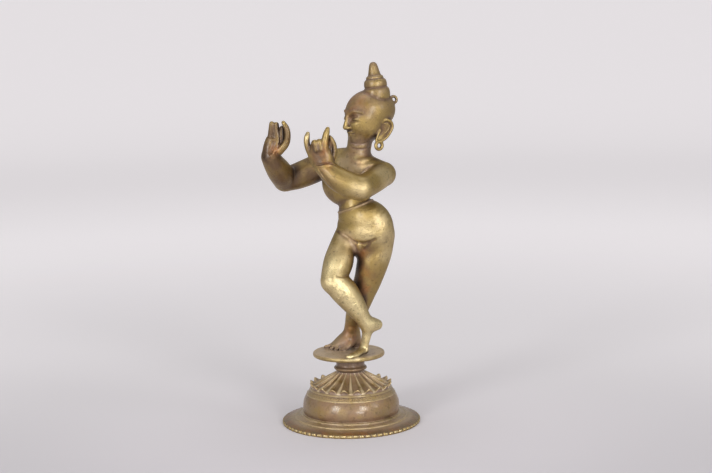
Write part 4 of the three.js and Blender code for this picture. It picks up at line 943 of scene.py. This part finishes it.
def zones_figure(me, V, N):
    top = DISC_Z[1]
    disc = smooth((top + 1.0 - V[:, 2]) / 0.8)
    flat = disc * np.clip(N[:, 2] * 1.5 - 0.5, 0, 1)
    side = disc * np.clip(1 - np.abs(N[:, 2]) * 1.15, 0, 1)
    low = smooth((66 - V[:, 2]) / 14) * smooth((V[:, 1] + 3) / 6) * smooth((15 - V[:, 0]) / 4)
    q = V - np.array(WAIST_CORD[0])
    cord = np.exp(-((q @ unit(WAIST_CORD[1])) / 0.9) ** 2) * (np.hypot(q[:, 0], q[:, 1]) < 23)
    add_attribute(me, "worn_and_highlight", np.maximum(near(V, WORN_AND_HIGHLIGHT_SPOTS, 9), side * 0.3) * (1 - 0.8 * flat))
    head = smooth((V[:, 2] - 200) / 9)
    # dark: the dark spots (tone and painted shade), darker low on the standing foot, the cord, and the head and topknot
    # darker towards the top
    add_attribute(me, "dark_and_shade", np.maximum.reduce([near(V, DARK_AND_SHADE_SPOTS, 9) * (1 - 0.4 * flat), 0.5 * low * (1 - 0.8 * flat), 0.75 * cord, 0.78 * head + 0.3 * smooth((V[:, 2] - 217) / 5)]) * (1 - 0.9 * side))
    add_attribute(me, "film", np.maximum.reduce([near(V, FILM_SPOTS, 10) * 0.6, 0.7 * near(V, FOLD_SPOTS, 3), 0.5 * cord, 1.4 * flat, 0.3 * head * np.clip(N[:, 2] + 0.3, 0, 1)]))
    add_attribute(me, "pitted", near(V, PIT_SPOTS, 12))
    add_attribute(me, "orange", near(V, ORANGE_SPOTS, 7))
    # pale mix: painted highlights along the crossing leg, and painted light on the top of the disc
    add_attribute(me, "polish_and_painted_light", np.maximum(near(V, POLISH_AND_LIGHT_SPOTS, 6), 0.2 * flat))


def make_pedestal():
    A = np.arange(AROUND) / AROUND * 2 * np.pi
    rows = pedestal_rows(A)
    V, q, t = turned(rows, AROUND)
    ob = mesh_object("pedestal_cast", V, [q, t])
    me = ob.data
    tag = np.repeat([r[2] for r in rows], AROUND)
    tag = np.concatenate([tag, [0, 7]])
    V = verts_mm(me)
    r = np.hypot(V[:, 0], V[:, 1])
    z = V[:, 2]
    angle = np.arctan2(V[:, 1], V[:, 0])
    u = np.clip((r - NECK_RADIUS + 0.1) / (LOTUS_REACH + 0.2), 0, 1)
    scoop, rib, lip = petal_parts(u, angle * PETALS + PETAL_TURN)
    between = np.abs((angle * PETALS + PETAL_TURN + np.pi) % (2 * np.pi) - np.pi) / np.pi
    rib = np.maximum(rib, smooth((between - 0.70) / 0.16))
    lot = tag == 1
    outer = tag == 9
    lot = lot | outer
    nick = 0.5 + 0.5 * np.cos(angle * NOTCHES)
    bead = (tag == 2) | (tag == 4)
    # lip_top is the upturned top edge of each petal tip, made bright as worn metal and as a painted highlight; the
    # outer face under it is darkened as painted shade
    lip_top = np.where(lot & ~outer, lip * smooth((z - 25.6) / 0.8) * smooth((u - 0.9) / 0.06), 0)
    edge = np.full(len(V), 0.46)
    edge = np.where(lot, 0.44 + 0.3 * rib + 0.45 * lip_top, edge)
    edge = np.where(bead, 0.66, edge)
    edge = np.where(tag == 6, 0.3 + 0.62 * smooth((nick - 0.18) / 0.2) * smooth((z - 0.4) / 0.7), edge)
    edge += 0.22 * np.exp(-((r - NECK_RIDGE_RADIUS) ** 2 + (z - NECK_RIDGE_Z) ** 2) / 0.8 ** 2)
    add_attribute(me, "edge", edge)
    op = np.ones(len(V))
    op -= 0.45 * np.exp(-((r - 32.0) ** 2 + (z - 7.5) ** 2) / 1.2 ** 2)
    op -= 0.35 * np.exp(-((r - 28.0) ** 2 + (z - 22.3) ** 2) / 0.7 ** 2)
    op -= 0.30 * np.exp(-((r - 33.4) ** 2 + (z - 5.6) ** 2) / 0.8 ** 2)
    op -= 0.55 * np.exp(-((r - 26.9) ** 2 + (z - 24.2) ** 2) / 0.7 ** 2)
    op -= 0.6 * np.exp(-((r - 9.3) ** 2 + (z - 34.6) ** 2) / 1.5 ** 2)
    op -= 0.6 * np.exp(-((r - 9.4) ** 2 + (z - 44.4) ** 2) / 3.2 ** 2)
    # painted shade on the outer face under each petal tip
    op = np.where(outer, op - 0.5 * lip, op)
    op = np.where(lot & ~outer, op - 0.12 * scoop * smooth(u / 0.1) * (1 - 0.75 * smooth((u - 0.86) / 0.12)), op)
    op = np.where(tag == 7, 0.35, op)
    op = np.where(tag == 0, op - 0.2, op)
    op = np.where(tag == 6, op - 0.4 * smooth((0.2 - nick) / 0.15), op)
    add_attribute(me, "openness_and_shade", op)
    add_attribute(me, "form", np.where(tag == 3, 0.62, 0.5) * np.ones(len(V)))
    add_attribute(me, "worn_and_highlight", np.where(tag == 3, 0.08, 0) + np.where(tag == 6, 0.05 * smooth((nick - 0.18) / 0.2), 0) + lip_top * 1.0 + np.where(lot, 0.5 * rib, 0) + np.where(bead, 0.25, 0) + np.where(tag == 8, 0.2, 0))
    # dark: darker tone on the collar, dome, inside, scoops and outer flange; painted shade on the dome's upper part and
    # under each petal tip
    add_attribute(me, "dark_and_shade", np.where(tag == 0, 1.0, 0) + np.where(tag == 3, 0.72 + 0.3 * np.clip((z - 14) / 5, 0, 1), 0) + np.where(tag == 7, 0.9, 0) + np.where(lot & ~outer, 0.18 * scoop * (1 - lip_top), 0) + np.where(outer, 0.4 * lip, 0) + np.where(tag == 5, 0.35 + 0.9 * smooth((r - 39) / 4), 0))
    up = np.clip((z - 9) / 12, 0, 1)
    add_attribute(me, "film", np.where(tag == 5, 0.55 - 0.55 * smooth((r - 39) / 5), 0) + np.where(tag == 0, 0.25, 0) + np.where(tag == 4, 0.5, 0) + np.where(lot, (0.6 + 0.8 * rib) * (1 - lip_top), 0) + np.where(tag == 2, 0.4, 0) + np.where(tag == 8, 0.4, 0) + np.where(tag == 3, 0.25 + 0.1 * up, 0))
    add_attribute(me, "pitted", np.where(tag == 3, 0.35, 0.15))
    add_attribute(me, "orange", np.where(lot, 0.4 * scoop, 0) + np.where(tag == 5, 0.9 * smooth((r - 39) / 4), 0) + np.where(tag == 3, 0.3, 0))
    add_attribute(me, "hatch", (tag == 8) * np.ones(len(V)))
    add_attribute(me, "polish_and_painted_light", np.where(lot, 0.42 * rib * (1 - lip_top), 0))
    return ob


# ---------------------------------------------------------------- material
class Nodes:
    def __init__(s, name):
        s.mat = bpy.data.materials.new(name)
        s.mat.use_nodes = True
        s.t = s.mat.node_tree
        s.t.nodes.clear()

    def new(s, kind, **values):
        n = s.t.nodes.new(kind)
        for k, v in values.items():
            if hasattr(n, k):
                setattr(n, k, v)
            else:
                n.inputs[k].default_value = v
        return n

    def link(s, a, b):
        s.t.links.new(a, b)

    def attr(s, name):
        return s.new("ShaderNodeAttribute", attribute_name=name).outputs["Fac"]

    def math(s, op, a, b=0.0, clamp=False):
        n = s.new("ShaderNodeMath", operation=op, use_clamp=clamp)
        for i, v in enumerate((a, b)):
            if isinstance(v, (int, float)):
                n.inputs[i].default_value = v
            else:
                s.link(v, n.inputs[i])
        return n.outputs[0]

    def ramp(s, x, lo, hi, a=0.0, b=1.0):
        n = s.new("ShaderNodeMapRange", interpolation_type="SMOOTHSTEP")
        s.link(x, n.inputs["Value"])
        for k, v in (("From Min", lo), ("From Max", hi), ("To Min", a), ("To Max", b)):
            n.inputs[k].default_value = v
        return n.outputs["Result"]

    def mix(s, fac, a, b):
        n = s.new("ShaderNodeMix", data_type="RGBA")
        for sock, v in ((n.inputs[0], fac), (n.inputs[6], a), (n.inputs[7], b)):
            if isinstance(v, (int, float)):
                sock.default_value = v
            elif isinstance(v, tuple):
                sock.default_value = v
            else:
                s.link(v, sock)
        return n.outputs[2]

    def noise(s, co, scale, detail=4.0, rough=0.55, distortion=0.0):
        n = s.new("ShaderNodeTexNoise")
        s.link(co, n.inputs["Vector"])
        n.inputs["Scale"].default_value = scale
        n.inputs["Detail"].default_value = detail
        n.inputs["Roughness"].default_value = rough
        n.inputs["Distortion"].default_value = distortion
        return n.outputs["Fac"]


def srgb(r, g, b):
    f = lambda c: ((c / 255 + 0.055) / 1.055) ** 2.4 if c > 10.3 else c / 255 / 12.92
    return (f(r), f(g), f(b), 1.0)


def aged_brass(name, hatch=False):
    m = Nodes(name)
    co = m.new("ShaderNodeTexCoord").outputs["Object"]
    op, edge = m.attr("openness_and_shade"), m.attr("edge")
    worn_and_highlight, dark_and_shade, film, pitted, orange, polish_and_painted_light = (m.attr(a) for a in ("worn_and_highlight", "dark_and_shade", "film", "pitted", "orange", "polish_and_painted_light"))
    broad = m.noise(co, 42, 3, 0.55)
    mid = m.noise(co, 170, 5, 0.62)
    fine = m.noise(co, 820, 3, 0.6)
    speck = m.noise(co, 420, 2, 0.5)
    # patina: more in hollows and dark zones, less on worn edges; the dark zones and the lowered openness also carry
    # painted shade, and the worn zones painted highlights
    p = m.math("MULTIPLY", m.math("SUBTRACT", 0.93, op), 1.5)
    p = m.math("ADD", p, m.math("MULTIPLY", dark_and_shade, 0.62))
    p = m.math("SUBTRACT", p, m.math("MULTIPLY", m.math("SUBTRACT", edge, 0.5), 1.2))
    p = m.math("SUBTRACT", p, m.math("MULTIPLY", worn_and_highlight, 0.45))
    p = m.math("ADD", p, m.math("MULTIPLY", m.math("SUBTRACT", broad, 0.46), 1.1))
    p = m.math("ADD", p, m.math("MULTIPLY", m.math("SUBTRACT", mid, 0.5), 0.8))
    patina = m.ramp(p, -0.1, 0.95)
    # worn, brighter metal where the worn zones and convex edges are; in the worn zones it is partly a painted highlight
    worn_and_highlight_mix = m.math("ADD", m.math("MULTIPLY", worn_and_highlight, 0.62), m.math("MULTIPLY", m.math("SUBTRACT", edge, 0.46), 1.3))
    worn_and_highlight_mix = m.math("ADD", worn_and_highlight_mix, m.math("MULTIPLY", m.math("SUBTRACT", mid, 0.5), 0.5))
    worn_and_highlight_mix = m.ramp(worn_and_highlight_mix, 0.12, 0.8)
    worn_and_highlight_mix = m.math("MULTIPLY", worn_and_highlight_mix, m.math("SUBTRACT", 1.0, patina, True))
    col = m.mix(worn_and_highlight_mix, BRASS_MID, BRASS_WORN_AND_HIGHLIGHT)
    col = m.mix(patina, col, BRASS_BROWN)
    # deep brown where openness is low: patina in hollows, and painted shade where the shade spots lower the openness
    deep = m.ramp(m.math("ADD", m.math("MULTIPLY", m.math("SUBTRACT", 1.0, op), 1.3), m.math("MULTIPLY", mid, 0.3)), 0.42, 1.1)
    col = m.mix(m.math("MULTIPLY", deep, 0.88), col, BRASS_DEEP)
    o = m.math("MULTIPLY", orange, m.ramp(m.noise(co, 110, 3, 0.6), 0.36, 0.62))
    col = m.mix(m.math("MULTIPLY", o, 0.62), col, BRASS_ORANGE)
    fl = m.math("MULTIPLY", film, m.ramp(mid, 0.22, 0.55))
    col = m.mix(m.math("MULTIPLY", fl, 0.72), col, BRASS_FILM)
    # pale mix: polish on the lotus ribs, painted highlights along the crossing leg, painted light on the disc top
    polish_and_light_mix = m.math("MULTIPLY", polish_and_painted_light, m.ramp(mid, 0.3, 0.6, 0.5, 1.0))
    col = m.mix(m.math("MULTIPLY", polish_and_light_mix, 0.8), col, BRASS_PALE)
    # faint cloudy staining over everything
    st = m.ramp(m.noise(co, 95, 4, 0.7), 0.52, 0.68)
    col = m.mix(m.math("MULTIPLY", st, 0.28), col, BRASS_BROWN)
    col = m.mix(m.math("MULTIPLY", m.ramp(speck, 0.6, 0.7), 0.3), col, BRASS_DEEP)
    # small dark pits
    vo = m.new("ShaderNodeTexVoronoi", feature="F1")
    m.link(co, vo.inputs["Vector"])
    vo.inputs["Scale"].default_value = 1550
    pick = m.new("ShaderNodeSeparateColor")
    m.link(vo.outputs["Color"], pick.inputs[0])
    size = m.math("MULTIPLY", pick.outputs[0], m.math("ADD", m.math("MULTIPLY", pitted, 0.42), 0.03))
    pit = m.ramp(m.math("SUBTRACT", size, vo.outputs["Distance"]), -0.12, 0.08)
    pit = m.math("MULTIPLY", pit, m.ramp(m.math("ADD", m.noise(co, 140, 3, 0.6), m.math("MULTIPLY", pitted, 0.25)), 0.46, 0.66))
    col = m.mix(m.math("MULTIPLY", pit, 0.34), col, BRASS_BROWN)
    rough = m.math("ADD", 0.38, m.math("MULTIPLY", patina, 0.12))
    rough = m.math("ADD", rough, m.math("MULTIPLY", fl, 0.18))
    rough = m.math("ADD", rough, m.math("MULTIPLY", m.math("SUBTRACT", fine, 0.5), 0.4))
    rough = m.math("ADD", rough, m.math("MULTIPLY", m.math("SUBTRACT", mid, 0.5), 0.22))
    rough = m.math("ADD", rough, m.math("MULTIPLY", pit, 0.2))
    rough = m.math("SUBTRACT", rough, m.math("MULTIPLY", polish_and_light_mix, 0.06))
    h = m.math("ADD", m.math("MULTIPLY", m.noise(co, 330, 4, 0.6), 0.5), m.math("MULTIPLY", m.noise(co, 1300, 2, 0.6), 1.1))
    h = m.math("ADD", h, m.math("MULTIPLY", m.noise(co, 90, 2, 0.5), 0.9))
    h = m.math("SUBTRACT", h, m.math("MULTIPLY", pit, 1.0))
    if hatch:
        wave = m.new("ShaderNodeTexVoronoi", feature="F1")
        m.link(co, wave.inputs["Vector"])
        wave.inputs["Scale"].default_value = 1000
        dots = m.math("MULTIPLY", m.ramp(wave.outputs["Distance"], 0.1, 0.5), m.attr("hatch"))
        h = m.math("ADD", h, m.math("MULTIPLY", dots, 1.4))
        col = m.mix(m.math("MULTIPLY", m.math("SUBTRACT", m.attr("hatch"), dots, True), 0.45), col, BRASS_DEEP)
    bump = m.new("ShaderNodeBump")
    m.link(h, bump.inputs["Height"])
    bump.inputs["Strength"].default_value = 0.55
    bump.inputs["Distance"].default_value = 0.0006
    s = m.new("ShaderNodeBsdfPrincipled")
    m.link(col, s.inputs["Base Color"])
    m.link(rough, s.inputs["Roughness"])
    m.link(m.math("SUBTRACT", 0.94, m.math("ADD", m.math("MULTIPLY", patina, 0.3), m.math("MULTIPLY", fl, 0.6)), True), s.inputs["Metallic"])
    s.inputs["Coat Weight"].default_value = 0.8 if hatch else 0.5
    s.inputs["Coat Roughness"].default_value = 0.2 if hatch else 0.24
    s.inputs["Specular Tint"].default_value = (0.55, 0.46, 0.34, 1)
    m.link(bump.outputs["Normal"], s.inputs["Normal"])
    out = m.new("ShaderNodeOutputMaterial")
    m.link(s.outputs["BSDF"], out.inputs["Surface"])
    return m.mat


BRASS_WORN_AND_HIGHLIGHT = srgb(201, 179, 131)
BRASS_MID = srgb(162, 137, 80)
BRASS_PALE = srgb(244, 226, 172)
BRASS_BROWN = srgb(108, 84, 60)
BRASS_DEEP = srgb(54, 40, 30)
BRASS_ORANGE = srgb(156, 98, 50)
BRASS_FILM = srgb(186, 160, 140)
FINE_STEP = 0.4
AROUND = 560

figure = make_figure()
pedestal = make_pedestal()
figure.data.materials.append(aged_brass("brass_figure"))
pedestal.data.materials.append(aged_brass("brass_pedestal", True))
for ob, node in ((figure, "figure"), (pedestal, "pedestal")):
    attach(ob, "root")
    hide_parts(node)

# ---------------------------------------------------------------- floor, lights and camera
VIEW = math.radians(35.0)          # the photograph looks at the row frame from this azimuth


def paper():
    """Pale paper with painted light and shade: a lighter painted pool of light round the base, painted shade further
    out in front, lightest far behind, with a faint glow of its own far out for even light.
    """
    m = Nodes("pale_paper")
    geo = m.new("ShaderNodeTexCoord").outputs["Object"]
    sep = m.new("ShaderNodeSeparateXYZ")
    m.link(geo, sep.inputs[0])
    away = m.math("SUBTRACT", m.math("MULTIPLY", sep.outputs[1], math.cos(VIEW)), m.math("MULTIPLY", sep.outputs[0], math.sin(VIEW)))
    x2 = m.math("MULTIPLY", sep.outputs[0], sep.outputs[0])
    y2 = m.math("MULTIPLY", sep.outputs[1], sep.outputs[1])
    dist = m.math("SQRT", m.math("ADD", x2, y2))
    s = m.new("ShaderNodeBsdfPrincipled")
    # painted pool of light round the base, painted shade further out in front, lighter far behind
    shade_and_light_pool = m.mix(m.ramp(dist, 0.11, 0.25), FLOOR_LIGHT_POOL, FLOOR_FRONT_SHADE)
    c = m.mix(m.ramp(away, -0.20, 0.27), shade_and_light_pool, FLOOR_FAR)
    m.link(c, s.inputs["Base Color"])
    s.inputs["Roughness"].default_value = 0.85
    s.inputs["Specular IOR Level"].default_value = 0.2
    glow = m.new("ShaderNodeEmission")
    m.link(c, glow.inputs["Color"])
    m.link(m.math("ADD", m.ramp(dist, 0.05, 1.1, 0.0, GLOW_FAR), m.ramp(dist, 1.5, 2.9, 0.0, GLOW_WALL)), glow.inputs["Strength"])
    both = m.new("ShaderNodeAddShader")
    m.link(s.outputs["BSDF"], both.inputs[0])
    m.link(glow.outputs[0], both.inputs[1])
    o = m.new("ShaderNodeOutputMaterial")
    m.link(both.outputs[0], o.inputs["Surface"])
    return m.mat


def backdrop(name, prof, material):
    """A round of pale paper: rings of radius and height."""
    n = 96
    A = np.arange(n) / n * 2 * np.pi
    V = np.array([[r * math.cos(a), r * math.sin(a), z] for r, z in prof if r > 0 for a in A])
    rings = len(V) // n
    q = [[j * n + i, j * n + (i + 1) % n, (j + 1) * n + (i + 1) % n, (j + 1) * n + i][::-1] for j in range(rings - 1) for i in range(n)]
    faces = [np.array(q)]
    if prof[0][0] == 0:
        V = np.vstack([V, [0, 0, 0]])
        faces.append(np.array([[len(V) - 1, i, (i + 1) % n] for i in range(n)]))
    ob = mesh_object(name, V, faces, 1.0)
    ob.data.materials.append(material)
    return ob


# paper tones: painted shade out in front, a painted pool of light round the base, plain pale paper far behind
FLOOR_FRONT_SHADE, FLOOR_LIGHT_POOL, FLOOR_FAR = srgb(196, 192, 195), srgb(209, 204, 208), srgb(230, 226, 228)
GLOW_FAR, GLOW_WALL = 0.37, 0.12
pale = paper()
backdrop("floor", [(0, 0), (0.3, 0), (0.9, 0)], pale)
# the sweep is far out, and the brass doesn't mirror it
sweep = backdrop("sweep", [(0.9, 0), (2.2, 0)] + [(2.2 + 1.8 * math.sin(a), 1.8 - 1.8 * math.cos(a)) for a in np.linspace(0, math.pi / 2, 24)[1:]] + [(4.0, 8.0)], pale)
sweep.visible_glossy = False
sweep.visible_diffuse = False



def from_view(x, y, z):
    """x to the viewer's right, y away from the viewer, z up, in metres, into the row frame."""
    return (x * math.cos(VIEW) - y * math.sin(VIEW), x * math.sin(VIEW) + y * math.cos(VIEW), z)


def softbox(name, place, size, power, colour=(1, 1, 1), aim=(0, 0, 0.12)):
    li = bpy.data.lights.new(name, "AREA")
    li.shape = "RECTANGLE"
    li.size, li.size_y = size
    li.energy = power
    li.color = colour
    ob = bpy.data.objects.new(name, li)
    bpy.context.scene.collection.objects.link(ob)
    p, q = np.array(from_view(*place)), np.array(from_view(*aim))
    z = unit(p - q)
    x = unit(np.cross((0, 0, 1), z))
    y = np.cross(z, x)
    M = Matrix.Identity(4)
    for i in range(3):
        M[i][0], M[i][1], M[i][2], M[i][3] = x[i], y[i], z[i], p[i]
    ob.matrix_world = M
    ob.visible_camera = False
    return ob


softbox("left_softbox", (-0.76, -0.99, 0.52), (0.36, 0.45), 6.1)
softbox("right_softbox", (0.62, -1.08, 0.52), (0.36, 0.45), 5.8)
softbox("right_side_softbox", (1.05, -0.50, 0.55), (0.3, 0.4), 1.2)
softbox("front_softbox", (0.0, -1.7, 0.30), (1.6, 0.6), 1.8)
softbox("low_left_softbox", (-0.75, -0.9, 0.12), (0.5, 0.2), 1.4)
softbox("low_right_softbox", (0.45, -1.2, 0.12), (0.4, 0.2), 2.6)
softbox("top_softbox", (0.0, 0.3, 1.7), (1.2, 1.0), 6.5)

world = bpy.data.worlds.new("studio")
bpy.context.scene.world = world
world.use_nodes = True
world.node_tree.nodes["Background"].inputs[0].default_value = (0.95, 0.94, 0.95, 1)
world.node_tree.nodes["Background"].inputs[1].default_value = 0.44

cam = bpy.data.cameras.new("camera")
cam.sensor_fit = "HORIZONTAL"
cam.sensor_width = 36.0
cam.lens = 36.0 * 1450.0 / 712.0
cam.clip_start, cam.clip_end = 0.05, 50
camera = bpy.data.objects.new("camera", cam)
bpy.context.scene.collection.objects.link(camera)
tilt, roll = math.radians(7.77), math.radians(1.12)
right = np.array(from_view(1, 0, 0))
fwd = np.array(from_view(0, math.cos(tilt), -math.sin(tilt)))
up = np.array(from_view(0, math.sin(tilt), math.cos(tilt)))
X = right * math.cos(roll) - up * math.sin(roll)
Y = right * math.sin(roll) + up * math.cos(roll)
M = Matrix.Identity(4)
C = from_view(0.00545, -0.95330, 0.25530)
for i in range(3):
    M[i][0], M[i][1], M[i][2], M[i][3] = X[i], Y[i], -fwd[i], C[i]
camera.matrix_world = M
bpy.context.scene.camera = camera
bpy.context.scene.view_settings.view_transform = "Standard"
